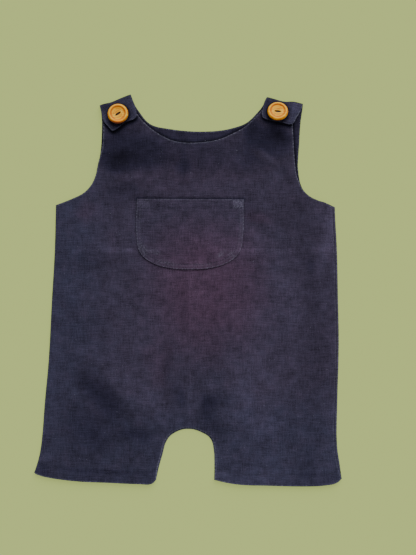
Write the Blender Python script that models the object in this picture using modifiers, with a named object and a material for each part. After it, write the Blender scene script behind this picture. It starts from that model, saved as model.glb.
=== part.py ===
"""Baby's romper, empty and laid flat with its front up.

Metres, +Z up. The shoulders point to +Y, the hems to -Y and the wearer's right side to -X.
The origin is under the middle of the laid-out garment, on the surface that it lies on.
Tables are in millimetres across (+X) and up (+Y) from that origin.
"""

import math
from typing import NamedTuple

import bmesh
import bpy
from mathutils import Matrix, Vector

MM = 0.001

# Cloth, in metres
WALL = 1.2 * MM
SEAM_GAP = 0.3 * MM
LAYER = WALL + SEAM_GAP
BACK_MIDDLE = WALL / 2
FRONT_MIDDLE = BACK_MIDDLE + LAYER
FRONT_FULLNESS = 1.1 * MM
SEAM_FADE = 26 * MM
STRAP_FLAT_FROM = 163 * MM
STRAP_FADE = 24 * MM
FOLD_END_SHARE = 0.25
FOLD_END_HEIGHT = 0.4

# Mesh of the cloth, in metres
GRID_STEP = 9 * MM
BACK_GRID_STEP = 27 * MM
OUTLINE_STEPS = 3
SNAP = 0.6 * MM
SMALLEST_EDGE = 0.06 * MM

# How far the front's edges lie inside the back's, in millimetres
FRONT_RIGHT_SET_IN = 2.7
FRONT_LEFT_SET_IN = 0.4
FRONT_LEG_SET_IN = 1.3
LEG_GAP_MIDDLE = (0, -170)

# Shoulder fold of the back's straps
FOLD_RADIUS = LAYER
FOLD_REACH = FOLD_RADIUS + WALL / 2
FOLD_STEPS = 6
STRAP_CUT_UP = 177 * MM
TAB_LENGTH = 28 * MM

# Patch pocket
POCKET_TOP_LEFT = (-51, 91.8)
POCKET_TOP_RIGHT = (55.6, 91.2)
POCKET_BOTTOM_UP = 21.4
POCKET_CORNER_UP = 47.5
POCKET_TAPER = 0.8
POCKET_LEAN = -0.6
POCKET_ROUNDNESS = 0.8
POCKET_BOTTOM_STEPS = 8
MOUTH_OPEN = 0.5 * MM
MOUTH_DEPTH = 26 * MM

# Wooden button, in metres
BUTTON_RADIUS = 10.3 * MM
BUTTON_HEIGHT = 3.9 * MM
BUTTON_STEPS = 40
EYE_LENGTH = 6.4 * MM
EYE_WIDTH = 2.2 * MM
EYE_DEPTH = 0.9 * MM
HOLE_RADIUS = 0.75 * MM
HOLE_SPACING = 3.4 * MM
HOLE_SIDES = 12


class Point(NamedTuple):
    """A point of an outline. A corner is sharp, and any other point lies on a smooth stretch."""

    across: float
    up: float
    corner: bool = False


class Fold(NamedTuple):
    """A soft ridge, or a trough where its height is negative, from start to end."""

    start: tuple
    end: tuple
    half_width: float
    height: float


class ShoulderFold(NamedTuple):
    """Where a strap of the back turns forward. sign is -1 on the left strap and 1 on the right.

    lift is how far the tab's free end would rise, in millimetres, if it were TAB_LENGTH long.
    """

    sign: int
    left: tuple
    right: tuple
    lift: float


# The back's outline follows these stretches in turn, from the left underarm round by the hems
LEFT_SIDE = [
    Point(-132.4, 85.7, corner=True),
    Point(-133.6, 38.7),
    Point(-136.4, -9.3),
    Point(-139.6, -69.3),
    Point(-143.6, -113),
    Point(-146.8, -152.3),
    Point(-149.4, -167.3),
]
LEFT_HEM = [
    Point(-153.8, -181.8, corner=True),
    Point(-151.8, -183.8),
    Point(-120.1, -189.9),
    Point(-78.3, -192.2),
    Point(-48, -193.5),
    Point(-36, -193.2),
    Point(-31.9, -188.9, corner=True),
]
INNER_LEGS = [
    Point(-28.7, -174.6),
    Point(-25.7, -164.4),
    Point(-20.9, -149.1),
    Point(-14, -142.5),
    Point(0, -138.4),
    Point(14.8, -142.5),
    Point(22.6, -148.4),
    Point(25.4, -157.3),
    Point(26.3, -174.6),
]
RIGHT_HEM = [
    Point(26.1, -189.2, corner=True),
    Point(35.6, -191.6),
    Point(52.9, -194.2),
    Point(78.4, -195),
    Point(116.2, -195.8),
    Point(137.6, -194.8),
    Point(149, -192.2),
    Point(153.8, -187.8, corner=True),
]
RIGHT_SIDE = [
    Point(151.7, -172.6),
    Point(149.3, -156),
    Point(149.3, -119.3),
    Point(151, -54.3),
    Point(150.2, -9.3),
    Point(149, 44.7),
    Point(147.3, 74.7),
]
RIGHT_UNDERARM = [
    Point(147.1, 83.6, corner=True),
    Point(137, 88.2),
    Point(129.9, 90.2),
    Point(117.6, 97.6),
]
BACK_RIGHT_ARMHOLE = [
    Point(111, 113.6),
    Point(111.4, 147.7),
    Point(112.8, 169.7),
]
BACK_NECK = [
    Point(74.6, 184.6),
    Point(68.2, 177),
    Point(58.4, 167.9),
    Point(46, 163.2),
    Point(34, 160.6),
    Point(19, 159.4),
    Point(-1, 159.8),
    Point(-21.5, 162.4),
    Point(-35, 165.3),
    Point(-41.6, 169.7),
    Point(-47.6, 177.3),
    Point(-53, 185.3),
]
BACK_LEFT_ARMHOLE = [
    Point(-86.8, 176.7),
    Point(-86.6, 152.7),
    Point(-87.8, 138),
]
LEFT_UNDERARM = [
    Point(-89.6, 128.7),
    Point(-94, 110.7),
    Point(-103, 98.7),
    Point(-114, 92.7),
]

# The front's own edges: its straps end under the tabs, just short of the shoulder folds
FRONT_RIGHT_ARMHOLE = [
    Point(109.6, 112),
    Point(106.4, 132.7),
    Point(105.4, 150.7),
    Point(104.6, 168),
    Point(105.6, 184.2, corner=True),
]
FRONT_NECK = [
    Point(80, 188, corner=True),
    Point(76, 183),
    Point(66.9, 173.4),
    Point(57.6, 164.6),
    Point(46, 157.7),
    Point(28.6, 150.6),
    Point(12, 148.2),
    Point(-3, 147.9),
    Point(-16, 150.2),
    Point(-27.5, 155.7),
    Point(-37.7, 162.8),
    Point(-47.6, 172.3),
    Point(-53.8, 181.6),
    Point(-58.4, 191.2, corner=True),
]
FRONT_LEFT_ARMHOLE = [
    Point(-85, 181.6, corner=True),
    Point(-84.8, 168),
    Point(-84.8, 152.7),
    Point(-86.2, 140.7),
]

LEFT_SHOULDER = ShoulderFold(-1, left=(-88.5, 185.2), right=(-57.4, 195.8), lift=1.6)
RIGHT_SHOULDER = ShoulderFold(1, left=(78.9, 192.7), right=(115.1, 186.9), lift=2.6)

# The tabs' outlines on the turned side, as (along the fold from its middle, past the fold),
# from the right end of the fold to its left end
LEFT_TAB = [
    (16.2, 7.8),
    (16.6, 15.6),
    (14.4, 23.2),
    (4, 24.4),
    (-6.6, 27.6),
    (-12.2, 28.4),
    (-14.6, 23.6),
    (-17.4, 16.6),
]
RIGHT_TAB = [
    (16.3, 9.3),
    (13.9, 14.8),
    (10.8, 21.9),
    (1, 22.1),
    (-10.3, 21.7),
    (-19.8, 19.6),
    (-20.8, 12),
    (-20.2, 5),
]

# The largest folds of the front, in millimetres: ridges first, then troughs
FRONT_FOLDS = [
    Fold(start=(-116, -66), end=(-28, -136), half_width=20, height=2.3),
    Fold(start=(-124, -100), end=(-74, -140), half_width=13, height=1.2),
    Fold(start=(62, -45), end=(66, -160), half_width=27, height=1.9),
    Fold(start=(97, 12), end=(94, -52), half_width=20, height=0.9),
    Fold(start=(-30, -12), end=(46, -12), half_width=58, height=0.9),
    Fold(start=(-76, 107), end=(20, 110), half_width=15, height=0.9),
    Fold(start=(60, 146), end=(86, 124), half_width=10, height=0.9),
    Fold(start=(-118, 20), end=(-112, -20), half_width=18, height=0.7),
    Fold(start=(120, -150), end=(142, -176), half_width=13, height=0.8),
    Fold(start=(-126, -82), end=(-76, -120), half_width=11, height=-0.9),
    Fold(start=(-13, -66), end=(-8, -134), half_width=12, height=-0.9),
    Fold(start=(22, -76), end=(31, -140), half_width=15, height=-1.2),
    Fold(start=(128, 28), end=(126, -120), half_width=15, height=-0.9),
    Fold(start=(116, -128), end=(98, -188), half_width=14, height=-0.9),
    Fold(start=(-72, 146), end=(-44, 124), half_width=20, height=-0.8),
]


class Turn(NamedTuple):
    """A point of the button's turned profile, as shares of its radius and its height."""

    radius: float
    height: float


# From the middle of the dish out over the raised rim and under to the middle
BUTTON_PROFILE = [
    Turn(0, 0.60),
    Turn(0.36, 0.62),
    Turn(0.52, 0.68),
    Turn(0.58, 0.74),
    Turn(0.66, 0.76),
    Turn(0.74, 0.92),
    Turn(0.83, 1.00),
    Turn(0.92, 0.95),
    Turn(0.985, 0.75),
    Turn(1.00, 0.52),
    Turn(0.96, 0.28),
    Turn(0.84, 0.08),
    Turn(0.66, 0),
    Turn(0, 0),
]


class Button(NamedTuple):
    """Where a button's underside is centred, how far its lower edge is raised and its eye is turned."""

    name: str
    across: float
    up: float
    above_floor: float
    tilt_degrees: float
    eye_degrees: float


BUTTONS = [
    Button("button_left", -69.8, 175.9, 6.2, 12, 35),
    Button("button_right", 89.4, 177.7, 7.9, 24, -6),
]


def clear_scene():
    for thing in list(bpy.data.objects):
        bpy.data.objects.remove(thing)


def collection(name):
    """A collection of this name in the scene."""
    made = bpy.data.collections.new(name)
    bpy.context.scene.collection.children.link(made)
    return made


def material(name, colour, roughness):
    """A plain finish of this colour and roughness, with no metal in it."""
    made = bpy.data.materials.new(name)
    made.use_nodes = True
    shader = made.node_tree.nodes["Principled BSDF"]
    shader.inputs["Base Color"].default_value = (*colour, 1)
    shader.inputs["Roughness"].default_value = roughness
    shader.inputs["Metallic"].default_value = 0
    made.diffuse_color = (*colour, 1)
    return made


def place(point):
    """A table's millimetres across and up, as a point in metres."""
    return Vector((point[0] * MM, point[1] * MM, 0))


def smooth_step(value):
    """0 below 0, 1 above 1 and an even rise between."""
    held = min(max(value, 0), 1)
    return held * held * (3 - 2 * held)


def distance_to_run(point, start, end):
    """How far a point is from the straight run between two others, and how far along it that is."""
    run = end - start
    share = min(max((point - start).dot(run) / run.length_squared, 0), 1)
    return (point - start - run * share).length, share


def shifted(points, across):
    """The same stretch of outline, moved sideways by millimetres."""
    return [point._replace(across=point.across + across) for point in points]


def drawn_back(points, middle, amount):
    """The same stretch of outline, moved straight away from a middle by millimetres."""
    moved = []
    for point in points:
        away = Vector((point.across - middle[0], point.up - middle[1])).normalized() * amount
        moved.append(point._replace(across=point.across + away.x, up=point.up + away.y))
    return moved


def fold_axes(fold):
    """The middle of a shoulder fold, the direction along it and the direction out past it."""
    left, right = place(fold.left), place(fold.right)
    along = (right - left).normalized()
    outward = Vector((-along.y, along.x, 0))
    return (left + right) / 2, along, outward


def unfolded_tab(fold, tab):
    """The tab's outline opened out flat past the fold, with the fold's ends."""
    middle, along, outward = fold_axes(fold)
    spent_in_bend = math.pi * FOLD_RADIUS - 2 * FOLD_REACH
    points = [Point(*fold.right)]
    for across, past in tab:
        spot = middle + along * across * MM + outward * (past * MM + spent_in_bend)
        points.append(Point(spot.x / MM, spot.y / MM))
    points.append(Point(*fold.left))
    return points


def flat_face(name, outline):
    """A bmesh that holds one face bounded by a curve through the outline's points."""
    data = bpy.data.curves.new(name, "CURVE")
    data.dimensions = "2D"
    data.fill_mode = "NONE"
    data.resolution_u = OUTLINE_STEPS
    spline = data.splines.new("BEZIER")
    spline.use_cyclic_u = True
    spline.bezier_points.add(len(outline) - 1)
    for bezier, point in zip(spline.bezier_points, outline):
        bezier.co = place(point)
        kind = "VECTOR" if point.corner else "AUTO"
        bezier.handle_left_type = kind
        bezier.handle_right_type = kind
    guide = bpy.data.objects.new(name, data)
    bpy.context.scene.collection.objects.link(guide)
    bpy.context.view_layer.update()
    evaluated = guide.evaluated_get(bpy.context.evaluated_depsgraph_get())
    edges = bpy.data.meshes.new_from_object(evaluated)
    bpy.data.objects.remove(guide)
    cloth = bmesh.new()
    cloth.from_mesh(edges)
    bpy.data.meshes.remove(edges)
    cloth.faces.new(cloth.verts)
    cloth.normal_update()
    if cloth.faces[:][0].normal.z < 0:
        bmesh.ops.reverse_faces(cloth, faces=cloth.faces)
    return cloth


def cut(cloth, faces, point, normal):
    """Cuts the faces along the line through a point, at right angles to a normal."""
    edges = {edge for face in faces for edge in face.edges}
    verts = {vert for face in faces for vert in face.verts}
    bmesh.ops.bisect_plane(
        cloth,
        geom=[*verts, *edges, *faces],
        dist=SNAP,
        plane_co=point,
        plane_no=normal,
    )


def cut_grid(cloth, step):
    """Cuts all of the cloth along lines that are a step apart and pass through the origin."""
    for axis in (Vector((1, 0, 0)), Vector((0, 1, 0))):
        reaches = [vert.co.dot(axis) for vert in cloth.verts]
        first = math.ceil(min(reaches) / step)
        last = math.floor(max(reaches) / step)
        for number in range(first, last + 1):
            cut(cloth, cloth.faces[:], axis * number * step, axis)


def cut_strap(cloth, fold):
    """Cuts one strap of the back across its length, closely through the bend at the shoulder."""
    middle, _, outward = fold_axes(fold)
    bend = math.pi * FOLD_RADIUS
    lines = [bend * number / FOLD_STEPS for number in range(FOLD_STEPS + 1)]
    lines += [bend + (TAB_LENGTH - FOLD_REACH) * share for share in (1 / 3, 2 / 3)]
    for past in lines:
        strap = [face for face in cloth.faces if on_strap(face.calc_center_median(), fold)]
        cut(cloth, strap, middle + outward * (past - FOLD_REACH), outward)


def on_strap(spot, fold):
    """Whether a place is on the strap that this fold turns."""
    return spot.y > STRAP_CUT_UP and spot.x * fold.sign > 0


def turn_strap(cloth, fold):
    """Turns what lies past the shoulder forward through a half round and down onto the front."""
    middle, _, outward = fold_axes(fold)
    bend = math.pi * FOLD_RADIUS
    for vert in cloth.verts:
        past = (vert.co - middle).dot(outward) + FOLD_REACH
        if not on_strap(vert.co, fold) or past <= 0:
            continue
        if past < bend:
            angle = past / FOLD_RADIUS
            reach = FOLD_RADIUS * math.sin(angle)
            rise = FOLD_RADIUS * (1 - math.cos(angle))
        else:
            reach = bend - past
            share = (past - bend) / TAB_LENGTH
            rise = 2 * FOLD_RADIUS + fold.lift * MM * share * share
        vert.co += outward * (reach - past)
        vert.co.z = BACK_MIDDLE + rise


def front_rise(spot):
    """How far the front's cloth is lifted off the back at a place, by its fullness and folds."""
    flat = Vector((spot.x, spot.y, 0))
    rise = FRONT_FULLNESS
    for fold in FRONT_FOLDS:
        distance, share = distance_to_run(flat, place(fold.start), place(fold.end))
        across = min(distance / (fold.half_width * MM), 1)
        full = smooth_step(share / FOLD_END_SHARE) * smooth_step((1 - share) / FOLD_END_SHARE)
        ends = FOLD_END_HEIGHT + (1 - FOLD_END_HEIGHT) * full
        rise += fold.height * MM * (1 - across * across) ** 2 * ends
    seams = (LEFT_SIDE, INNER_LEGS, RIGHT_SIDE)
    nearest = min(
        distance_to_run(flat, place(first), place(second))[0]
        for seam in seams
        for first, second in zip(seam, seam[1:])
    )
    held_by_seams = smooth_step(nearest / SEAM_FADE)
    held_by_straps = smooth_step((STRAP_FLAT_FROM - spot.y) / STRAP_FADE)
    return max(rise, 0) * held_by_seams * held_by_straps


def pocket_rise(spot):
    """The pocket lies on the front, and its mouth stands a little open in the middle."""
    top = place(POCKET_TOP_LEFT).y
    down = min(max((top - spot.y) / MOUTH_DEPTH, 0), 1)
    half = (place(POCKET_TOP_RIGHT).x - place(POCKET_TOP_LEFT).x) / 2
    middle = (place(POCKET_TOP_RIGHT).x + place(POCKET_TOP_LEFT).x) / 2
    sideways = min(abs(spot.x - middle) / half, 1)
    mouth = MOUTH_OPEN * (1 - smooth_step(down)) * (1 - sideways * sideways)
    return front_rise(spot) + LAYER + mouth


def sewn_piece(name, cloth, finish, garment):
    """Turns a middle surface into a piece of cloth with an even wall."""
    bmesh.ops.dissolve_degenerate(cloth, dist=SMALLEST_EDGE, edges=cloth.edges)
    bmesh.ops.triangulate(cloth, faces=cloth.faces)
    mesh = bpy.data.meshes.new(name)
    cloth.to_mesh(mesh)
    cloth.free()
    mesh.shade_smooth()
    mesh.materials.append(finish)
    piece = bpy.data.objects.new(name, mesh)
    wall = piece.modifiers.new("wall", "SOLIDIFY")
    wall.thickness = WALL
    wall.offset = 0
    wall.use_even_offset = True
    garment.objects.link(piece)
    return piece


def make_back(finish, garment):
    """The back panel: flat on the surface, with its long straps turned forward as tabs."""
    outline = LEFT_SIDE + LEFT_HEM + INNER_LEGS + RIGHT_HEM + RIGHT_SIDE + RIGHT_UNDERARM
    outline += BACK_RIGHT_ARMHOLE + unfolded_tab(RIGHT_SHOULDER, RIGHT_TAB) + BACK_NECK
    outline += unfolded_tab(LEFT_SHOULDER, LEFT_TAB) + BACK_LEFT_ARMHOLE + LEFT_UNDERARM
    cloth = flat_face("back", outline)
    cut(cloth, cloth.faces[:], Vector((0, STRAP_CUT_UP, 0)), Vector((0, 1, 0)))
    cut_grid(cloth, BACK_GRID_STEP)
    for vert in cloth.verts:
        vert.co.z = BACK_MIDDLE
    for fold in (LEFT_SHOULDER, RIGHT_SHOULDER):
        cut_strap(cloth, fold)
        turn_strap(cloth, fold)
    return sewn_piece("back", cloth, finish, garment)


def front_outline():
    """The front follows the back's edges, set in a little, up to its own armholes and neck."""
    outline = shifted(LEFT_SIDE, FRONT_LEFT_SET_IN) + LEFT_HEM
    outline += drawn_back(INNER_LEGS, LEG_GAP_MIDDLE, FRONT_LEG_SET_IN) + RIGHT_HEM
    outline += shifted(RIGHT_SIDE + RIGHT_UNDERARM[:1], -FRONT_RIGHT_SET_IN) + RIGHT_UNDERARM[1:]
    return outline + FRONT_RIGHT_ARMHOLE + FRONT_NECK + FRONT_LEFT_ARMHOLE + LEFT_UNDERARM


def make_front(finish, garment):
    """The front panel: it lies on the back and lifts in soft folds."""
    cloth = flat_face("front", front_outline())
    cut_grid(cloth, GRID_STEP)
    for vert in cloth.verts:
        vert.co.z = FRONT_MIDDLE + front_rise(vert.co)
    return sewn_piece("front", cloth, finish, garment)


def pocket_outline():
    """Straight across the mouth and down the sides, then a half oval round the bottom."""
    left, right = POCKET_TOP_LEFT, POCKET_TOP_RIGHT
    half = (right[0] - left[0]) / 2 - POCKET_TAPER
    middle = (right[0] + left[0]) / 2 + POCKET_LEAN
    depth = POCKET_CORNER_UP - POCKET_BOTTOM_UP
    outline = [Point(*right, corner=True), Point(*left, corner=True)]
    for number in range(POCKET_BOTTOM_STEPS + 1):
        angle = math.pi * (1 + number / POCKET_BOTTOM_STEPS)
        across = math.copysign(abs(math.cos(angle)) ** POCKET_ROUNDNESS, math.cos(angle))
        outline.append(Point(middle + half * across, POCKET_CORNER_UP + depth * math.sin(angle)))
    return outline


def make_pocket(finish, garment):
    """The patch pocket: the front's own surface moved out by one layer."""
    cloth = flat_face("pocket", pocket_outline())
    cut_grid(cloth, GRID_STEP)
    for vert in cloth.verts:
        vert.co.z = FRONT_MIDDLE + pocket_rise(vert.co)
    return sewn_piece("pocket", cloth, finish, garment)


def cutter(name, mesh, helpers):
    """A hidden shape that is taken out of a button."""
    tool = bpy.data.objects.new(name, mesh)
    tool.hide_render = True
    tool.display_type = "WIRE"
    helpers.objects.link(tool)
    return tool


def eye_cutter(helpers):
    """The long shallow eye sunk in the middle of the dish."""
    shape = bmesh.new()
    dish = BUTTON_HEIGHT * BUTTON_PROFILE[0].height
    size = Matrix.Diagonal((EYE_LENGTH / 2, EYE_WIDTH / 2, EYE_DEPTH, 1))
    bmesh.ops.create_uvsphere(
        shape,
        u_segments=20,
        v_segments=10,
        radius=1,
        matrix=Matrix.Translation((0, 0, dish)) @ size,
    )
    mesh = bpy.data.meshes.new("eye")
    shape.to_mesh(mesh)
    shape.free()
    return cutter("eye", mesh, helpers)


def hole_cutter(name, across, helpers):
    """A thread hole right through the button, beside its middle."""
    shape = bmesh.new()
    bmesh.ops.create_cone(
        shape,
        cap_ends=True,
        segments=HOLE_SIDES,
        radius1=HOLE_RADIUS,
        radius2=HOLE_RADIUS,
        depth=BUTTON_HEIGHT * 3,
        matrix=Matrix.Translation((across, 0, 0)),
    )
    mesh = bpy.data.meshes.new(name)
    shape.to_mesh(mesh)
    shape.free()
    return cutter(name, mesh, helpers)


def button_profile(finish):
    """The line that is turned into a button, from the dish's middle over the rim and under."""
    profile = bmesh.new()
    verts = [
        profile.verts.new((turn.radius * BUTTON_RADIUS, 0, turn.height * BUTTON_HEIGHT))
        for turn in BUTTON_PROFILE
    ]
    for first, second in zip(verts, verts[1:]):
        profile.edges.new((first, second))
    mesh = bpy.data.meshes.new("button_profile")
    profile.to_mesh(mesh)
    profile.free()
    mesh.materials.append(finish)
    return mesh


def make_buttons(finish, garment, helpers):
    """Two turned wooden buttons, each lying on a tab."""
    profile = button_profile(finish)
    cutters = [
        eye_cutter(helpers),
        hole_cutter("hole_a", -HOLE_SPACING / 2, helpers),
        hole_cutter("hole_b", HOLE_SPACING / 2, helpers),
    ]
    for button in BUTTONS:
        piece = bpy.data.objects.new(button.name, profile.copy())
        garment.objects.link(piece)
        turned = piece.modifiers.new("turned", "SCREW")
        turned.steps = BUTTON_STEPS
        turned.render_steps = BUTTON_STEPS
        turned.use_merge_vertices = True
        turned.merge_threshold = 0.00001
        tilt = Matrix.Rotation(-math.radians(button.tilt_degrees), 4, "X")
        eye = Matrix.Rotation(math.radians(button.eye_degrees), 4, "Z")
        spot = Matrix.Translation((button.across * MM, button.up * MM, button.above_floor * MM))
        piece.matrix_world = spot @ tilt @ eye
        for tool in cutters:
            own = tool.copy()
            own.name = f"{button.name}_{tool.name}"
            helpers.objects.link(own)
            own.matrix_world = piece.matrix_world
            taken = piece.modifiers.new(tool.name, "BOOLEAN")
            taken.operation = "DIFFERENCE"
            taken.solver = "EXACT"
            taken.object = own
    for tool in cutters:
        bpy.data.objects.remove(tool)


def main():
    clear_scene()
    garment = collection("romper")
    helpers = collection("cutters")
    cloth = material("navy_linen", (0.036, 0.032, 0.058), 0.9)
    wood = material("pale_wood", (0.72, 0.42, 0.16), 0.5)
    make_back(cloth, garment)
    make_front(cloth, garment)
    make_pocket(cloth, garment)
    make_buttons(wood, garment, helpers)


main()
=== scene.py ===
"""Looks of a baby's romper, laid flat with its front up: slubbed navy linen and two wooden buttons.

Metres, +Z up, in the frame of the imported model. Tables are in millimetres across (+X) and up (+Y).
"""

import math
import random
from typing import NamedTuple

import bmesh
import bpy
import numpy as np
from mathutils import Matrix, Vector, kdtree, noise
from mathutils.bvhtree import BVHTree


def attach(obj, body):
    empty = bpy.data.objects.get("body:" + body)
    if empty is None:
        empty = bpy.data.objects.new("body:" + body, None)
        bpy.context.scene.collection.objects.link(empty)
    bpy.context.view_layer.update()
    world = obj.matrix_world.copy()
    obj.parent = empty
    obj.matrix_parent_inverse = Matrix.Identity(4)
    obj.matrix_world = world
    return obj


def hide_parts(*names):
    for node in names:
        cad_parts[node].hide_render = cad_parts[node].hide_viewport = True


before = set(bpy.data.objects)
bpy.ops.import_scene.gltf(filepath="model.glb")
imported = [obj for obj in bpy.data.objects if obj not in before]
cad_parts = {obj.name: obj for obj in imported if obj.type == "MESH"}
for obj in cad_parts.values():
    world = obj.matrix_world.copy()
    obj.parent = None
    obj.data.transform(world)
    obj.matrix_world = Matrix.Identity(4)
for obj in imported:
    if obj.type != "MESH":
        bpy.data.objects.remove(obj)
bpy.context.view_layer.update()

MM = 0.001

# Daylight from above the shoulders, and an even fill
DAYLIGHT = 3.42
DAYLIGHT_SPREAD = math.radians(60)
DAYLIGHT_FROM = (0.25, 1, 0.7)
FILL = 0.42
FILL_COLOUR = (0.93, 0.95, 1, 1)

# Camera: straight above, so that one pixel of the picture is one millimetre
PICTURE_HEIGHT_PIXELS = 555
PICTURE_MIDDLE = (19.95 * MM, 13.15 * MM)
CAMERA_UP = 1.4
SHARP_HEIGHT = 3 * MM
SENSOR_HEIGHT = 24
NEAREST_SEEN = 0.01

# Paper under the romper
FLOOR_SIZE = 6
FLOOR_BELOW = 0.05 * MM

# Cloth
CLOTH = 0.8 * MM
ROUNDING = 0.28 * MM
MERGE = 0.01 * MM
SHARP_CORNER = math.radians(28)
SKIN_BEND = math.radians(48)
GRID_STEP = 7.5 * MM
GRID_SNAP = 0.25 * MM
ON_GRID = 0.275 * MM
LEVEL = 0.95
ANY_BEND = math.radians(80)
SLIGHT_BEND = math.radians(1)
EVEN_CUTS = 1
POCKET_CUTS = 2
STRAPS_FROM_UP = 148 * MM
HEIGHT_SMOOTHING = 14
EDGE_BEND = math.radians(50)

# Shoulder bends of the back's straps, as in the solids
BEND_RADIUS = 1.5 * MM
BEND_MIDDLE_UP = 2.1 * MM
BEND_SET_IN = 2.1 * MM
TAB_FROM_UP = 3.6 * MM

# Turned hems and edges, and the groove that a row of stitches draws in
HEM_DEPTH = 11.3 * MM
HEMS_BELOW_UP = -180.5 * MM
HEM_STEP = 0.2 * MM
STEP_WIDTH = 1.6 * MM
POCKET_HEM_DEPTH = 9.5 * MM
POCKET_TURNING = 7 * MM
POCKET_TURNING_STEP = 0.25 * MM
POCKET_ROW_SET_IN = 4.6 * MM
TAB_ROW_SET_IN = 3.6 * MM
ROW_GROOVE = 0.22 * MM
ROW_HALF_WIDTH = 1.3 * MM
ROW_STEEPNESS = 1.6

# Seams between the front and the back, at the sides and round the inner legs
SIDE_SEAMS_ASIDE = 124 * MM
SIDE_SEAMS_UP = (-181 * MM, 84 * MM)
INNER_LEGS_ASIDE = 34 * MM
INNER_LEGS_UP = (-188 * MM, -130 * MM)

# Edges are tucked down where they are sewn, and rolled up a little where they are free
SIDE_TUCK = 0.7 * MM
INNER_LEG_TUCK = 0.8 * MM
EDGE_TUCK_REACH = 2.4 * MM
POCKET_EDGE_TUCK = 0.75 * MM
POCKET_TUCK_REACH = 6 * MM
MOUTH_TUCK_SHARE = 0.5
ROLLED_EDGE = 0.22 * MM
ROLLED_EDGE_REACH = 2.2 * MM
TAB_EDGE_RISE = 0.22 * MM
TAB_EDGE_REACH = 2 * MM
TAB_RISE_FADE = 1.5 * MM
# How far in from an edge the cloth turns paler: a painted highlight where light catches the rounded
# edge, with rubbed lint
EDGE_LIT_AND_WORN_REACH = 1.6 * MM

# How far from an edge the unevenness of the cloth begins, and how it sinks round the pocket
RUMPLES_FADE_IN = 14 * MM
PRESSED_FADE_IN = 5 * MM
POCKET_FADE_IN = 8 * MM
FLAT_BACK_EDGE = 2 * MM
DENT_BY_POCKET = 0.22 * MM
DENT_BY_MOUTH = 0.4 * MM
DENT_REACH = 2.6 * MM
MOUTH_EDGE = 1.2 * MM
MOUTH_FADE = 3 * MM

# Stitches
STITCH_LENGTH = 2.5 * MM
STITCH_WIDTH = 0.5 * MM
STITCH_HEIGHT = 0.34 * MM
STITCH_ENDS_DIP = 0.9
STITCH_PITCH = 3.0 * MM
STITCH_LIFT = 0.02 * MM
SUNK_BELOW = 0.14 * MM
STITCH_TURNS = (-0.07, 0.07)
STITCH_LENGTH_SHARES = (0.92, 1.06)
CLEAR_OF_CLOTH = 50 * MM
HEM_ROWS = [(-148, -34), (29, 150)]
HEM_ROW_POINTS = 40
INSET_KEPT = 0.985
CORNER_LOOPS = [(140.5, -182.4), (151.5, -184.6)]
LOOP_PITCH = 1.5 * MM
LOOP_TURN = math.radians(70)
LOOP_STITCH = 1.1
POCKET_ROW_BELOW_MOUTH = POCKET_ROW_SET_IN * 1.02
POCKET_ROW_END = 1.2 * MM
BOX_OUTER = 0.8 * MM
BOX_INNER = 12 * MM
BOX_BELOW_MOUTH = 1.6 * MM
BOX_ABOVE_ROW = 0.6 * MM
BOX_PITCH = 1.9 * MM
BOX_STITCH = 0.7
BUTTONHOLE_HALF_WIDTH = 0.9 * MM
BUTTONHOLE_PITCH = 0.62 * MM
BUTTONHOLE_STITCH = 0.62
CAP_WIDTH_SHARE = 1.6
CAP_PITCH = 0.6 * MM
CAP_STITCH = 0.8


class Waves(NamedTuple):
    """Soft uneven waves in the cloth: their height, length across, width up and seed."""

    height: float
    length: float
    width: float
    seed: float


BROAD_WAVES = Waves(0.55, 46, 38, 1.7)
MIDDLING_WAVES = Waves(0.22, 15, 13, 5.2)
SMALL_WAVES = Waves(0.07, 5, 4.4, 9.6)
TAB_WAVES = Waves(0.3, 11, 9, 7.7)
TAB_PUCKERS = Waves(0.1, 3.2, 3.2, 6.9)
TAB_PUCKERS_REACH = 7 * MM
HEM_PUCKERS = Waves(0.14, 4.2, 14, 2.5)
HEM_PUCKERS_SHARE_UP = 0.75
HEM_PUCKERS_REACH = 8 * MM
POCKET_PUCKERS = Waves(0.16, 3.4, 3.4, 6.3)
POCKET_PUCKERS_REACH = 3.4 * MM
POCKET_HEM_PUCKERS = Waves(0.1, 3.2, 9, 4.9)
POCKET_HEM_PUCKERS_REACH = 4 * MM

# How far, in what waves and from which seeds creases and patches of colour wander
CREASE_WANDER = 2.2 * MM
PRESSED_WANDER = 0.55 * MM
CREASE_WAVE = 24 * MM
CREASE_SEEDS = (3.1, 8.4)
PATCH_WANDER = 7 * MM
POCKET_LIT_PATCH_WANDER = 2 * MM
TAB_PATCH_WANDER = 1 * MM
PATCH_WAVE = 30 * MM
PATCH_SEEDS = (4.4, 6.6)
PATCH_EDGE = 1.2


class Crease(NamedTuple):
    """A crease of the cloth: a ridge, or a trough where its height is negative."""

    start: tuple
    end: tuple
    half_width: float
    height: float
    pressed: bool = False


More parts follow.
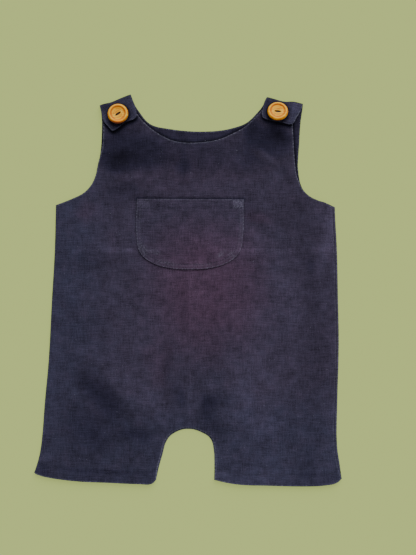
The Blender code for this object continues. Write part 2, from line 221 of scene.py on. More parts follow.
# Pressed creases run through the pocket too. The others are the front's smaller rumples.
PRESSED = [
    Crease((1.4, 152), (1.9, 40), 2.0, 0.26, True),
    Crease((1.9, 40), (1.7, -60), 2.0, 0.30, True),
    Crease((1.7, -50), (0.6, -138), 2.4, 0.34, True),
    Crease((-134, 37.5), (-48, 38.6), 5, 0.34, True),
    Crease((-56, 38.8), (62, 39.2), 5, 0.36, True),
    Crease((48, 38.8), (142, 36.6), 6, 0.55, True),
]
RUMPLES = [
    Crease((-122, -106), (-58, -154), 11, -0.7),
    Crease((-128, -40), (-92, -66), 12, -0.5),
    Crease((-124, -4), (-110, 4), 13, 0.6),
    Crease((-134, -20), (-122, -28), 9, -0.5),
    Crease((-90, 97), (-54, 98), 7, -0.5),
    Crease((-22, 127), (-8, 124), 9, -0.6),
    Crease((64, 146), (86, 126), 4, 0.35),
    Crease((-84, 113), (14, 111), 7, 0.35),
    Crease((-142, -176), (-122, -175), 2.6, 0.3),
    Crease((-84, -180), (-70, -178), 2.4, 0.28),
    Crease((69, -174), (72, -190), 2.6, 0.3),
    Crease((24.5, -126), (26.5, -140), 2.4, 0.3),
    Crease((-40, -142), (-24, -150), 6, -0.5),
    Crease((27, -183), (48, -186), 5, 0.3),
    Crease((66, 120), (72, 117), 3, 0.2),
    Crease((58, 76), (80, 68), 5, 0.3),
]
# Creases of the back, which the romper lies on: each lifts the cloth a little off the surface
BACK_CREASES = [
    Crease((-0.8, 146), (-0.4, 34), 2.2, 0.24, True),
    Crease((-0.4, 36), (0.9, -130), 2.6, 0.32, True),
    Crease((-130, 31), (-36, 33.5), 5, 0.3, True),
    Crease((-44, 33), (136, 29.5), 6, 0.34, True),
    Crease((-108, -92), (-46, -146), 12, 0.5),
    Crease((-126, -36), (-88, -58), 11, 0.36),
    Crease((66, -58), (58, -160), 13, 0.5),
    Crease((98, 14), (132, -24), 9, 0.34),
    Crease((-84, 104), (-22, 112), 9, 0.4),
    Crease((30, 128), (74, 108), 10, 0.42),
    Crease((112, -120), (138, -162), 8, 0.36),
    Crease((-66, 160), (-76, 128), 6, 0.3),
]
# How much of the front's unevenness the back and the pocket have
BACK_RUMPLED = 0.4
POCKET_RUMPLED = 0.5
CREASE_FADE = 0.3
CREASE_END_HEIGHT = 0.3


class Tone(NamedTuple):
    """A broad soft patch where the cloth is darker, or paler where its amount is above 0."""

    middle: tuple
    reach: tuple
    amount: float
    turn_degrees: float = 0


class Patch(NamedTuple):
    """A sewn box of the pocket, from its left, right, lower and upper edges, and how it differs."""

    left: float
    right: float
    low: float
    high: float
    tone: float
    lit_and_worn: float


# Broad soft patches of painted shade and painted light on the front, for the shading of its broad
# undulations, with some uneven tone of the cloth
FRONT_SHADING_AND_TONES = [
    Tone((-64, 141), (44, 36), -0.46),
    Tone((-68, 128), (26, 14), -0.3),
    Tone((84, 152), (36, 22), -0.44),
    Tone((67, 165), (11, 14), -0.34),
    Tone((91, 155), (13, 9), -0.28),
    Tone((97, 116), (10, 14), -0.18),
    Tone((72, 128), (32, 20), -0.18),
    Tone((10, 138), (75, 34), -0.28),
    Tone((-8, 126), (12, 8), -0.16),
    Tone((-66, 97), (34, 14), -0.26),
    Tone((74, 137), (17, 6), 0.3, -40),
    Tone((102, 72), (30, 34), -0.14),
    Tone((128, 84), (16, 16), 0.16),
    Tone((120, 20), (16, 60), -0.15),
    Tone((142, 62), (9, 34), 0.5),
    Tone((65, 78), (14, 18), -0.2),
    Tone((-92, 22), (34, 12), -0.12),
    Tone((-60, 20), (12, 8), -0.14),
    Tone((46, 42), (46, 28), 0.12),
    Tone((2, 14), (34, 16), 0.14),
    Tone((-38, -32), (20, 14), 0.1),
    Tone((85, -5), (40, 60), 0.06),
    Tone((98, 0), (24, 14), 0.12),
    Tone((-105, -35), (40, 26), -0.1),
    Tone((-108, -70), (30, 10), -0.12, -30),
    Tone((-88, -102), (40, 20), -0.34, -35),
    Tone((-76, -140), (66, 36), -0.22, -30),
    Tone((-50, -146), (22, 9), -0.22),
    Tone((-110, -152), (36, 44), -0.18),
    Tone((-85, -190), (75, 18), -0.2),
    Tone((-148, -180), (12, 12), -0.3),
    Tone((-22, -82), (9, 44), -0.2),
    Tone((-10, -102), (9, 24), -0.26),
    Tone((30, -110), (20, 13), -0.3),
    Tone((15, -125), (10, 40), -0.16),
    Tone((28, -130), (12, 30), -0.26, 20),
    Tone((58, -100), (26, 60), 0.2),
    Tone((80, -132), (28, 12), 0.18),
    Tone((64, -187), (40, 12), 0.2),
    Tone((33, -183), (7, 4), 0.25),
    Tone((128, -70), (20, 90), -0.16),
    Tone((122, -176), (18, 26), -0.2),
    Tone((143, -158), (8, 14), 0.2),
    Tone((126, 28), (10, 12), -0.14),
]
# Painted light and shade along the pressed creases, the upright line down the middle and the one across
# the hips: each paler on the side that faces the light and darker on the other
CREASE_LIGHT_AND_SHADE = [
    Tone((-4.5, 125), (5, 32), -0.08),
    Tone((-4, -20), (6, 70), -0.1),
    Tone((-4, -100), (6, 38), -0.12),
    Tone((2.4, -10), (2.4, 80), 0.1),
    Tone((1.6, -112), (2.6, 36), 0.16),
    Tone((76, 38.4), (32, 5.6), 0.16, -1),
    Tone((66, 41.4), (20, 1.6), 0.1),
    Tone((74, 31.4), (28, 2.8), -0.2, -1),
    Tone((-66, 40.6), (18, 3.2), 0.16),
    Tone((-57.5, 40.6), (6, 2.6), 0.3, -12),
    Tone((-94, 40.8), (16, 3), 0.1),
    Tone((-80, 31.5), (38, 8), -0.12),
]
# Painted light on the tabs' small folds and painted shade beside them, with paler patches of their own
# colour
TAB_SHADING_AND_TONES = [
    Tone((-58, 191), (7, 4), 0.3, 20),
    Tone((-54, 182), (3.6, 10), 0.3, 20),
    Tone((-82, 185), (7, 4), -0.2, 20),
    Tone((-70, 163.5), (10, 3), 0.15, -28),
    Tone((-83, 171), (6, 8), 0.3),
    Tone((109, 184), (9, 8), 0.5),
    Tone((104, 174), (6, 9), 0.3, -15),
    Tone((97, 170), (9, 4), 0.12),
    Tone((81, 191), (6, 3), 0.25),
    Tone((80, 184), (3, 9), -0.2),
]
# Soft patches on the side that the romper lies on
BACK_TONES = [
    Tone((-60, 130), (50, 30), -0.24),
    Tone((72, 136), (44, 34), -0.2),
    Tone((-96, 10), (36, 50), 0.1),
    Tone((84, -12), (44, 36), -0.12),
    Tone((-84, -112), (50, 26), -0.2, -30),
    Tone((64, -118), (26, 60), 0.14),
    Tone((0, -90), (14, 50), -0.14),
    Tone((126, -150), (24, 36), -0.16),
]
# Painted shade on the back's inner face
INSIDE_SHADE = -0.35
TAB_TONE = -0.15
# Painted shade on the shoulder bends
BEND_SHADE = -0.4
BEND_FROM_UP = 0.9 * MM
# A painted shadow on the back where the front's open edge lies on it
CONTACT_SHADOW = -0.5
CONTACT_REACH = 3.4 * MM
# Painted light on the back's inside along the side seams, with a painted shadow where the front's sewn
# edge lies on it; painted light on the back's inside round the inner legs, and a painted highlight on
# the front's inner-leg edge
SEAM_INSIDE_LIGHT = 0.22
SEAM_CONTACT_SHADOW = -0.42
INNER_LEG_INSIDE_LIGHT = 0.4
INNER_LEG_EDGE_HIGHLIGHT = 0.5
SEAM_CONTACT_REACH = 1.8 * MM
# How much painted highlight and rubbed lint the front's edge has along the side seams
SEAM_EDGE_LIT_AND_WORN = 0.35
# Painted shadows under the tabs and the buttons, shifted the way the light casts them
UNDER_TAB_SHADOW = -0.7
UNDER_TAB_REACH = 3.6 * MM
UNDER_BUTTON_SHADOW = -0.65
UNDER_BUTTON_REACH = 3.2 * MM
SHADE_SHIFT = (0.4 * MM, -1.0 * MM, 0)
# Painted shadows round the pocket and, darker, in its mouth
POCKET_OUTLINE_SHADOW = -0.05
POCKET_MOUTH_SHADOW = -0.55
POCKET_OUTLINE_REACH = 2.4 * MM
# Painted shade in the groove of the leg hems' row of stitches
HEM_LINE_SHADE = -0.24
HEM_LINE_REACH = 1.6 * MM
DARKEST_TONE = -0.85
BLUSHES = [
    Tone((17, 4), (72, 82), 1.0),
    Tone((69, 73), (16, 8), 0.4),
    Tone((0, 118), (80, 30), 0.2),
    Tone((-30, -75), (16, 30), 0.3),
    Tone((-100, 78), (20, 14), 0.3),
]
# Where light catches the tabs' edges, painted highlights with rubbed lint, and how much of them the
# rest of the tabs' edges have
TAB_LIT_AND_WORN_PATCHES = [
    Tone((74.5, 177), (4, 9), 0.4),
    Tone((110.5, 176), (7, 13), 1.0, -15),
    Tone((-80, 164), (9, 8), 0.5),
    Tone((-55, 170), (6, 10), 0.3),
]
TAB_EDGE_LIT_AND_WORN = 0.3
# Painted highlights along the pocket's lower curve and its sides, speckled like rubbed lint
POCKET_LIT_AND_WORN_PATCHES = [
    Tone((-45, 42), (6, 11), 0.42, 30),
    Tone((-33, 38), (9, 3), 0.32, -24),
    Tone((33, 37), (7, 3), 0.5, 40),
    Tone((43, 36), (5, 5), 0.4, 40),
    Tone((-22, 27), (16, 3.4), 0.34, -10),
    Tone((16, 25), (22, 2.6), 0.22, 2),
    Tone((53, 60), (2.6, 24), 0.24),
]
POCKET_BOXES = [
    Patch(left=-50.4, right=-38.4, low=82, high=91, tone=0.26, lit_and_worn=0.15),
    Patch(left=44.8, right=55, low=81.8, high=90.6, tone=0.26, lit_and_worn=0.55),
]
BOX_EDGE = 1.2 * MM
# Painted highlight with rubbed lint on the ridge beside the pocket's row, and how much the mouth and
# the other edges have
POCKET_RIDGE_LIT_AND_WORN = 0.26
POCKET_RIDGE_OUT = 1.2 * MM
POCKET_RIDGE_WIDTH = 0.8 * MM
POCKET_MOUTH_LIT_AND_WORN = 0.5
POCKET_EDGE_LIT_AND_WORN = 0.75


class Shoulder(NamedTuple):
    """The line where a strap of the back turns forward, from its left end to its right end."""

    left: tuple
    right: tuple


SHOULDERS = {
    -1: Shoulder(left=(-88.5, 185.2), right=(-57.4, 195.8)),
    1: Shoulder(left=(78.9, 192.7), right=(115.1, 186.9)),
}


class Swell(NamedTuple):
    """A place where the line of a shoulder bend swells up, or dips."""

    middle: tuple
    reach: float
    rise: float


SHOULDER_SWELLS = [
    Swell((-86, 186), 12, 0.4),
    Swell((-77, 189), 9, -0.5),
    Swell((-60, 195), 14, 0.7),
    Swell((79, 192.5), 12, 1.1),
    Swell((95.5, 189.8), 9, -0.7),
    Swell((107, 188), 10, 0.8),
]


class ButtonPlace(NamedTuple):
    """Where a button's underside is centred, and how it is tilted and turned."""

    node: str
    across: float
    up: float
    above_floor: float
    tilt_degrees: float
    eye_degrees: float
    buttonhole_end: tuple


BUTTONS = [
    ButtonPlace("button_left", -69.8, 175.9, 6.2, 12, 35, (-75.6, 189.2)),
    ButtonPlace("button_right", 89.4, 177.7, 7.9, 24, -6, (95.4, 189.6)),
]
TAB_TOP = 4.4
BUTTON_RADIUS = 10.3 * MM
BUTTON_HEIGHT = 3.9 * MM
BUTTON_SIDES = 96
BUTTON_ROUNDING = 0.12 * MM
BUTTON_EDGE_BEND = math.radians(38)
BUTTON_SHADED_BEND = math.radians(40)
WIDEST_RING = (1, 0.52)
# Rings of the turned button as shares of its radius and height, from its widest ring up and down
UPPER_RINGS = [
    (0.99, 0.64),
    (0.975, 0.74),
    (0.945, 0.84),
    (0.90, 0.93),
    (0.85, 0.985),
    (0.805, 1.00),
    (0.765, 0.98),
    (0.73, 0.92),
    (0.70, 0.83),
    (0.67, 0.755),
    (0.63, 0.735),
    (0.57, 0.725),
    (0.52, 0.68),
    (0.47, 0.65),
    (0.43, 0.655),
    (0.39, 0.68),
    (0.35, 0.68),
    (0.31, 0.64),
    (0.22, 0.60),
]
LOWER_RINGS = [(0.985, 0.40), (0.96, 0.28), (0.91, 0.17), (0.84, 0.08), (0.76, 0.02), (0.66, 0)]
EYE_SIZE = (6.7 * MM, 2.3 * MM, 3.0 * MM)
HOLE_RADIUS = 0.75 * MM
HOLE_SPACING = 3.4 * MM
FIGURE_SHIFT = 0.6 * MM
STRANDS_ASIDE = (-0.3, 0, 0.3)
STRAND_RADIUS = 0.2 * MM
STRAND_CREST = 0.34


# Modelling helpers


def work_on(piece):
    """Makes this the only selected object and the active one."""
    bpy.ops.object.select_all(action="DESELECT")
    piece.select_set(True)
    bpy.context.view_layer.objects.active = piece


def edit(piece, whole=False):
    """Opens a piece in edit mode with the whole of it selected, or nothing."""
    work_on(piece)
    bpy.ops.object.mode_set(mode="EDIT")
    bpy.ops.mesh.select_mode(type="FACE")
    bpy.ops.mesh.select_all(action="SELECT" if whole else "DESELECT")


def done_editing():
    bpy.ops.object.mode_set(mode="OBJECT")


def select_faces(piece, wanted):
    """In edit mode, adds the faces that are wanted to the selection."""
    shape = bmesh.from_edit_mesh(piece.data)
    for face in shape.faces:
        if wanted(face):
            face.select_set(True)
    bmesh.update_edit_mesh(piece.data)


def apply_modifier(piece, kind, **settings):
    """Adds a modifier with these settings and applies it."""
    work_on(piece)
    made = piece.modifiers.new(kind.lower(), kind)
    for name, setting in settings.items():
        setattr(made, name, setting)
    bpy.ops.object.modifier_apply(modifier=made.name)


def places(mesh):
    """The mesh's points as rows of three numbers."""
    spots = np.empty(len(mesh.vertices) * 3)
    mesh.vertices.foreach_get("co", spots)
    return spots.reshape(-1, 3)


def set_places(mesh, spots):
    mesh.vertices.foreach_set("co", spots.ravel())
    mesh.update()


def round_edges(piece, width, bend):
    """Rounds the edges that bend more than this."""
    limits = {"limit_method": "ANGLE", "angle_limit": bend, "use_clamp_overlap": True}
    apply_modifier(piece, "BEVEL", width=width, segments=2, **limits)


def smooth_step(values):
    """0 below 0, 1 above 1 and an even rise between."""
    held = np.clip(values, 0, 1)
    return held * held * (3 - 2 * held)


def close_to(away, reach):
    """1 at a distance of 0, falling softly to 0 at this reach."""
    return 1 - smooth_step(away / reach)


def round_about(away, width):
    """1 at a distance of 0, with long soft tails on both sides."""
    return np.exp(-((away / width) ** 2))


def waves(spots, length, width, seed):
    """Soft uneven waves, between about -1 and 1, this long across and this wide up the cloth."""
    return np.array([
        noise.noise(Vector((x / length, y / width, seed))) for x, y, _ in spots.tolist()
    ])


def wavy(spots, kind):
    """How far waves of this kind lift the cloth at each place."""
    return kind.height * MM * waves(spots, kind.length * MM, kind.width * MM, kind.seed)


def drift(spots, length, seeds):
    """Which way each place wanders, across and up, in waves this long."""
    return np.stack([waves(spots, length, length, seed) for seed in seeds], 1)


def join(pieces, name):
    """Makes several pieces one object."""
    bpy.ops.object.select_all(action="DESELECT")
    for piece in pieces:
        piece.select_set(True)
    bpy.context.view_layer.objects.active = pieces[0]
    bpy.ops.object.join()
    pieces[0].name = name
    pieces[0].data.name = name
    return pieces[0]


# Cloth from the solids


def cloth_skin(node, name, side, bend):
    """The upper (side 1) or lower (side -1) skin of a node, as an open cloth that is evenly cut."""
    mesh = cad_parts[node].data.copy()
    mesh.name = name
    mesh.materials.clear()
    piece = bpy.data.objects.new(name, mesh)
    bpy.context.scene.collection.objects.link(piece)
    edit(piece, True)
    bpy.ops.mesh.remove_doubles(threshold=MERGE)
    bpy.ops.mesh.select_all(action="DESELECT")
    shape = bmesh.from_edit_mesh(mesh)
    flat = [face for face in shape.faces if face.normal.z * side > LEVEL]
    middle = min(flat, key=lambda face: face.calc_center_median().xy.length)
    select_faces(piece, lambda face: face == middle)
    bpy.ops.mesh.faces_select_linked_flat(sharpness=SKIN_BEND)
    bpy.ops.mesh.select_all(action="INVERT")
    bpy.ops.mesh.delete(type="FACE")
    cut_evenly(piece, bend)
    keep_corners(mesh)
    done_editing()
    return piece


def cut_evenly(piece, bend):
    """In edit mode, cuts the cloth along even lines and takes out its other edges that bend less."""
    corners = [piece.matrix_world @ Vector(corner) for corner in piece.bound_box]
    for axis in (0, 1):
        normal = [0, 0, 0]
        normal[axis] = 1
        lowest = min(corner[axis] for corner in corners)
        highest = max(corner[axis] for corner in corners)
        for number in range(math.floor(lowest / GRID_STEP), math.ceil(highest / GRID_STEP)):
            spot = [0, 0, 0]
            spot[axis] = (number + 0.5) * GRID_STEP
            bpy.ops.mesh.select_all(action="SELECT")
            bpy.ops.mesh.bisect(plane_co=spot, plane_no=normal, threshold=GRID_SNAP)
    bpy.ops.mesh.select_mode(type="EDGE")
    bpy.ops.mesh.select_all(action="DESELECT")
    shape = bmesh.from_edit_mesh(piece.data)
    for edge in shape.edges:
        if not edge.is_boundary and edge.calc_face_angle(0) < bend and not on_line(edge):
            edge.select_set(True)
    bmesh.update_edit_mesh(piece.data)
    bpy.ops.mesh.dissolve_edges(use_verts=False)
    bpy.ops.mesh.select_mode(type="VERT")
    bpy.ops.mesh.select_all(action="DESELECT")
    shape = bmesh.from_edit_mesh(piece.data)
    for vert in shape.verts:
        if len(vert.link_edges) == 2 and not vert.is_boundary:
            vert.select_set(True)
    bmesh.update_edit_mesh(piece.data)
    bpy.ops.mesh.dissolve_verts()
    bpy.ops.mesh.select_mode(type="FACE")
    bpy.ops.mesh.select_all(action="DESELECT")
    select_faces(piece, lambda face: len(face.verts) > 4)
    bpy.ops.mesh.quads_convert_to_tris(quad_method="BEAUTY", ngon_method="BEAUTY")
    bpy.ops.mesh.tris_convert_to_quads(face_threshold=SKIN_BEND, shape_threshold=SKIN_BEND)
    bpy.ops.mesh.select_all(action="SELECT")
    bpy.ops.mesh.remove_doubles(threshold=GRID_SNAP)


def on_line(edge):
    """Whether an edge runs along one of the even lines."""
    ends = [vert.co / GRID_STEP - Vector((0.5, 0.5, 0)) for vert in edge.verts]
    for axis in (0, 1):
        if all(abs(end[axis] - round(end[axis])) * GRID_STEP < ON_GRID for end in ends):
            if abs(ends[0][axis] - ends[1][axis]) < 0.5:
                return True
    return False


def keep_corners(mesh):
    """In edit mode, gives the outline's corners a full crease, so that smoothing leaves them sharp."""
    shape = bmesh.from_edit_mesh(mesh)
    layer = shape.verts.layers.float.new("crease_vert")
    for vert in shape.verts:
        rim = [edge for edge in vert.link_edges if edge.is_boundary]
        if len(rim) == 2:
            first, second = (edge.other_vert(vert).co - vert.co for edge in rim)
            if math.pi - first.angle(second) > SHARP_CORNER:
                vert[layer] = 1
    bmesh.update_edit_mesh(mesh)


def refine(piece, cuts=EVEN_CUTS):
    """Rounds the outline once and cuts every face evenly."""
    apply_modifier(piece, "SUBSURF", levels=1, render_levels=1)
    edit(piece, True)
    bpy.ops.mesh.subdivide(number_cuts=cuts)
    done_editing()


def soften_heights(piece):
    """Smooths the cloth's heights and leaves its outline alone."""
    edit(piece, True)
    bpy.ops.mesh.vertices_smooth(
        factor=0.5, repeat=HEIGHT_SMOOTHING, xaxis=False, yaxis=False, zaxis=True
    )
    done_editing()


def start_cloth(node, side, bend, cuts=EVEN_CUTS):
    """A node's upper or lower skin as fine cloth, its points, its rim and how far they are from it."""
    piece = cloth_skin(node, f"{node}_cloth", side, bend)
    refine(piece, cuts)
    if side > 0:
        soften_heights(piece)
    spots = places(piece.data)
    rim = rim_of(piece)
    return piece, spots, rim, *far_from(rim, spots)


def rim_of(piece):
    """The places round an open cloth's edge, in turn."""
    shape = bmesh.new()
    shape.from_mesh(piece.data)
    first = next(edge for edge in shape.edges if edge.is_boundary)
    edge, vert = first, first.verts[1]
    rim = []
    while True:
        rim.append(vert.co.copy())
        edge = next(other for other in vert.link_edges if other.is_boundary and other != edge)
        vert = edge.other_vert(vert)
        if edge == first:
            break
    shape.free()
    return np.array(rim)


def far_from(rim, spots):
    """How far each place is from a rim, and the rim's nearest place."""
    tree = kdtree.KDTree(len(rim))
    for number, spot in enumerate(rim):
        tree.insert(spot, number)
    tree.balance()
    found = [tree.find(spot) for spot in spots]
    return np.array([row[2] for row in found]), rim[[row[1] for row in found]]


def far_aside(rim, spots):
    """How far each place is from a rim as seen from above, and the rim's nearest place."""
    return far_from(rim * (1, 1, 0), spots * (1, 1, 0))


def creased(creases, spots):
    """How far these creases lift or sink the cloth at each place."""
    aside_waves = drift(spots, CREASE_WAVE, CREASE_SEEDS)
    rise = np.zeros(len(spots))
    for crease in creases:
        wander = PRESSED_WANDER if crease.pressed else CREASE_WANDER
        start = np.array(crease.start) * MM
        run = np.array(crease.end) * MM - start
        from_start = spots[:, :2] + wander * aside_waves - start
        share = np.clip(from_start @ run / (run @ run), 0, 1)
        aside = np.linalg.norm(from_start - share[:, None] * run, axis=1)
        near = np.clip(aside / (crease.half_width * MM), 0, 1)
        section = (1 - near) ** 2 if crease.pressed else (1 - near * near) ** 2
        full = smooth_step(share / CREASE_FADE) * smooth_step((1 - share) / CREASE_FADE)
        ends = CREASE_END_HEIGHT + (1 - CREASE_END_HEIGHT) * full
        rise += crease.height * MM * section * ends
    return rise


def rumpled(spots):
    """The unevenness of washed linen: broad, middling and small."""
    return wavy(spots, BROAD_WAVES) + wavy(spots, MIDDLING_WAVES) + wavy(spots, SMALL_WAVES)


def groove(away):
    """The dent of a row of stitches at each distance from it."""
    return -ROW_GROOVE * np.exp(-((away / ROW_HALF_WIDTH) ** 2) * ROW_STEEPNESS)


def turned_layer(inside):
    """1 where a turning lies under the cloth, this far inside the turning's edge."""
    return smooth_step(inside / STEP_WIDTH + 0.5)


def hem_line(rim):
    """A function that gives the height of the leg hems' lower edge at each place across."""
    low = rim[rim[:, 1] < HEMS_BELOW_UP]
    low = low[np.argsort(low[:, 0])]
    return lambda across: np.interp(across, low[:, 0], low[:, 1])


def hemmed(spots, above_hem):
    """The hem's turned layer, the groove of its stitches and the puckers that they draw."""
    layer = HEM_STEP * turned_layer(HEM_DEPTH - above_hem)
    near = round_about(above_hem - HEM_DEPTH * HEM_PUCKERS_SHARE_UP, HEM_PUCKERS_REACH)
    return layer + groove(above_hem - HEM_DEPTH) + wavy(spots, HEM_PUCKERS) * near


def lay_out_flat(piece):
    """A UV map in metres of the flat cut: the tabs are opened out past their shoulder bends."""
    spots = places(piece.data)
    flat = spots[:, :2].copy()
    for side, shoulder in SHOULDERS.items():
        left, right = np.array(shoulder.left) * MM, np.array(shoulder.right) * MM
        along = (right - left) / np.linalg.norm(right - left)
        outward = np.array((-along[1], along[0]))
        centre = (left + right) / 2 - outward * BEND_SET_IN
        past = (spots[:, :2] - centre) @ outward
        turn = np.arctan2(past, BEND_MIDDLE_UP - spots[:, 2])
        on_bend = past > 0
        on_tab = (past <= 0) & (spots[:, 2] > TAB_FROM_UP)
        opened = np.where(on_bend, BEND_RADIUS * turn, math.pi * BEND_RADIUS - past)
        strap = (spots[:, 1] > STRAPS_FROM_UP) & (spots[:, 0] * side > 0) & (on_bend | on_tab)
        moved = flat + outward * (opened - past)[:, None]
        flat[strap] = moved[strap]
    layer = piece.data.uv_layers.new(name="cloth")
    corners = np.empty(len(piece.data.loops), dtype=int)
    piece.data.loops.foreach_get("vertex_index", corners)
    layer.data.foreach_set("uv", flat[corners].ravel())


def patchy(spots, tones, wander=PATCH_WANDER):
    """The sum of soft patches at each place, with outlines that wander this far."""
    total = np.zeros(len(spots))
    moved = spots[:, :2] + wander * drift(spots, PATCH_WAVE, PATCH_SEEDS)
    for patch in tones:
        turn = math.radians(patch.turn_degrees)
        x, y = (moved - np.array(patch.middle) * MM).T
        along = (x * math.cos(turn) + y * math.sin(turn)) / (patch.reach[0] * MM)
        aside = (y * math.cos(turn) - x * math.sin(turn)) / (patch.reach[1] * MM)
        total += patch.amount * smooth_step(PATCH_EDGE - np.hypot(along, aside))
    return total


def mark(piece, name, values):
    """Gives the mesh's points an attribute that its finish reads."""
    layer = piece.data.attributes.new(name, "FLOAT", "POINT")
    layer.data.foreach_set("value", values)


def mark_colours(piece, spots, tone, away, lit_and_worn=0, edge_lit_and_worn=1):
    """The cloth's tone with its painted shade and light, how plum it is, and how pale its edges and
    some patches are by painted highlight and rubbed lint, at each point.
    """
    mark(piece, "tone", np.maximum(tone, DARKEST_TONE))
    mark(piece, "blush", np.clip(patchy(spots, BLUSHES), 0, 1))
    mark(piece, "wear_and_highlight", np.maximum(close_to(away, EDGE_LIT_AND_WORN_REACH) * edge_lit_and_worn, lit_and_worn))


def in_box(spots, box):
    """1 inside a sewn box, 0 outside it and a short fade between."""
    sides = (
        spots[:, 0] - box.left * MM,
        box.right * MM - spots[:, 0],
        spots[:, 1] - box.low * MM,
        box.high * MM - spots[:, 1],
    )
    return smooth_step(np.min(sides, axis=0) / BOX_EDGE + 0.5)


def shade_under(piece, rim, tone, reach):
    """Paints a shadow on a finished cloth close round the outline of what lies on it, shifted the way
    the light casts it.
    """
    away, _ = far_aside(rim + SHADE_SHIFT, places(piece.data))
    add_tone(piece, tone * close_to(away, reach))


def add_tone(piece, more):
    """Makes a finished cloth paler or darker by this much at each point."""
    layer = piece.data.attributes["tone"]
    tones = np.empty(len(more))
    layer.data.foreach_get("value", tones)
    layer.data.foreach_set("value", np.maximum(tones + more, DARKEST_TONE))


def thicken(piece):
    """Gives the open cloth its thickness, inwards, and rounds its edges."""
    apply_modifier(piece, "SOLIDIFY", thickness=CLOTH, offset=-1)
    round_edges(piece, ROUNDING, EDGE_BEND)
    piece.data.shade_smooth()


# The three pieces of cloth


def between(nearest, ends):
    """Whether each rim place is between these two, up the cloth."""
    low, high = ends
    return (nearest[:, 1] > low) & (nearest[:, 1] < high)


def on_side_seam(nearest):
    """Whether each rim place is on a side seam, where the front is sewn down on the back."""
    return (np.abs(nearest[:, 0]) > SIDE_SEAMS_ASIDE) & between(nearest, SIDE_SEAMS_UP)


def on_inner_legs(nearest):
    """Whether each rim place is on the seam round the inner legs."""
    return (np.abs(nearest[:, 0]) < INNER_LEGS_ASIDE) & between(nearest, INNER_LEGS_UP)


def make_front(pocket_rim):
    """The front panel, with its pressed creases, rumples, leg hems and rolled edges."""
    piece, spots, rim, away, nearest = start_cloth("front", 1, ANY_BEND)
    side, inner_legs = on_side_seam(nearest), on_inner_legs(nearest)
    above_hem = spots[:, 1] - hem_line(rim)(spots[:, 0])
    by_pocket, _ = far_aside(pocket_rim, spots)
    mouth = smooth_step((spots[:, 1] - pocket_rim[:, 1].max()) / MOUTH_FADE + 1)
    rise = (creased(RUMPLES, spots) + rumpled(spots)) * smooth_step(away / RUMPLES_FADE_IN)
    rise += creased(PRESSED, spots) * smooth_step(away / PRESSED_FADE_IN)
    rise += hemmed(spots, above_hem)
    rolled = ROLLED_EDGE * close_to(away, ROLLED_EDGE_REACH) * (above_hem > HEM_DEPTH)
    tuck = np.where(side, SIDE_TUCK, INNER_LEG_TUCK)
    tucked = -tuck * (1 - np.clip(away / EDGE_TUCK_REACH, 0, 1)) ** 2
    rise += np.where(side | inner_legs, tucked, rolled)
    rise -= (DENT_BY_POCKET + DENT_BY_MOUTH * mouth) * close_to(by_pocket, DENT_REACH)
    spots[:, 2] += rise
    set_places(piece.data, spots)
    lay_out_flat(piece)
    # Painted shade and light: broad patches and the sides of the creases, painted shadows round the
    # pocket and in its mouth, painted shade in the hem's groove and a painted highlight on the inner
    # legs' edge
    outline = POCKET_OUTLINE_SHADOW + POCKET_MOUTH_SHADOW * mouth
    tone = patchy(spots, FRONT_SHADING_AND_TONES) + patchy(spots, CREASE_LIGHT_AND_SHADE, 0)
    tone += outline * close_to(by_pocket, POCKET_OUTLINE_REACH)
    tone += HEM_LINE_SHADE * round_about(above_hem - HEM_DEPTH, HEM_LINE_REACH)
    tone += INNER_LEG_EDGE_HIGHLIGHT * inner_legs * close_to(away, EDGE_TUCK_REACH)
    mark_colours(piece, spots, tone, away, edge_lit_and_worn=np.where(side, SEAM_EDGE_LIT_AND_WORN, 1))
    thicken(piece)
    return piece, rim


def make_pocket():
    """The patch pocket, with its hemmed mouth, turned edges and puckered rows of stitches."""
    piece, spots, rim, away, nearest = start_cloth("pocket", 1, ANY_BEND, POCKET_CUTS)
    top = rim[:, 1].max()
    below_mouth = top - spots[:, 1]
    at_mouth = nearest[:, 1] > top - MOUTH_EDGE
    from_row = away - POCKET_ROW_SET_IN
    from_hem = below_mouth - POCKET_HEM_DEPTH
    rise = POCKET_TURNING_STEP * smooth_step((POCKET_TURNING - away) / STEP_WIDTH)
    rise += groove(from_row) + wavy(spots, POCKET_PUCKERS) * round_about(from_row, POCKET_PUCKERS_REACH)
    rise *= ~at_mouth
    rise += creased(PRESSED, spots)
    rise += POCKET_RUMPLED * rumpled(spots) * smooth_step(away / POCKET_FADE_IN)
    rise += HEM_STEP * turned_layer(-from_hem) + groove(from_hem)
    rise += wavy(spots, POCKET_HEM_PUCKERS) * round_about(from_hem, POCKET_HEM_PUCKERS_REACH)
    tuck = POCKET_EDGE_TUCK * np.where(at_mouth, MOUTH_TUCK_SHARE, 1)
    rise -= tuck * close_to(away, POCKET_TUCK_REACH)
    spots[:, 2] += rise
    set_places(piece.data, spots)
    lay_out_flat(piece)
    # Painted shade and light of the front's patches and creases; painted highlights on the ridge by the
    # row and along the lower curve; the sewn boxes paler
    tone = patchy(spots, FRONT_SHADING_AND_TONES) + patchy(spots, CREASE_LIGHT_AND_SHADE, 0)
    ridge = round_about(from_row + POCKET_RIDGE_OUT, POCKET_RIDGE_WIDTH) * ~at_mouth
    lit_and_worn = np.maximum(patchy(spots, POCKET_LIT_AND_WORN_PATCHES, POCKET_LIT_PATCH_WANDER), POCKET_RIDGE_LIT_AND_WORN * ridge)
    for box in POCKET_BOXES:
        inside = in_box(spots, box)
        tone += box.tone * inside
        lit_and_worn = np.maximum(lit_and_worn, box.lit_and_worn * inside)
    edge_lit_and_worn = np.where(at_mouth, POCKET_MOUTH_LIT_AND_WORN, POCKET_EDGE_LIT_AND_WORN)
    mark_colours(piece, spots, tone, away, lit_and_worn, edge_lit_and_worn)
    thicken(piece)
    return piece, rim


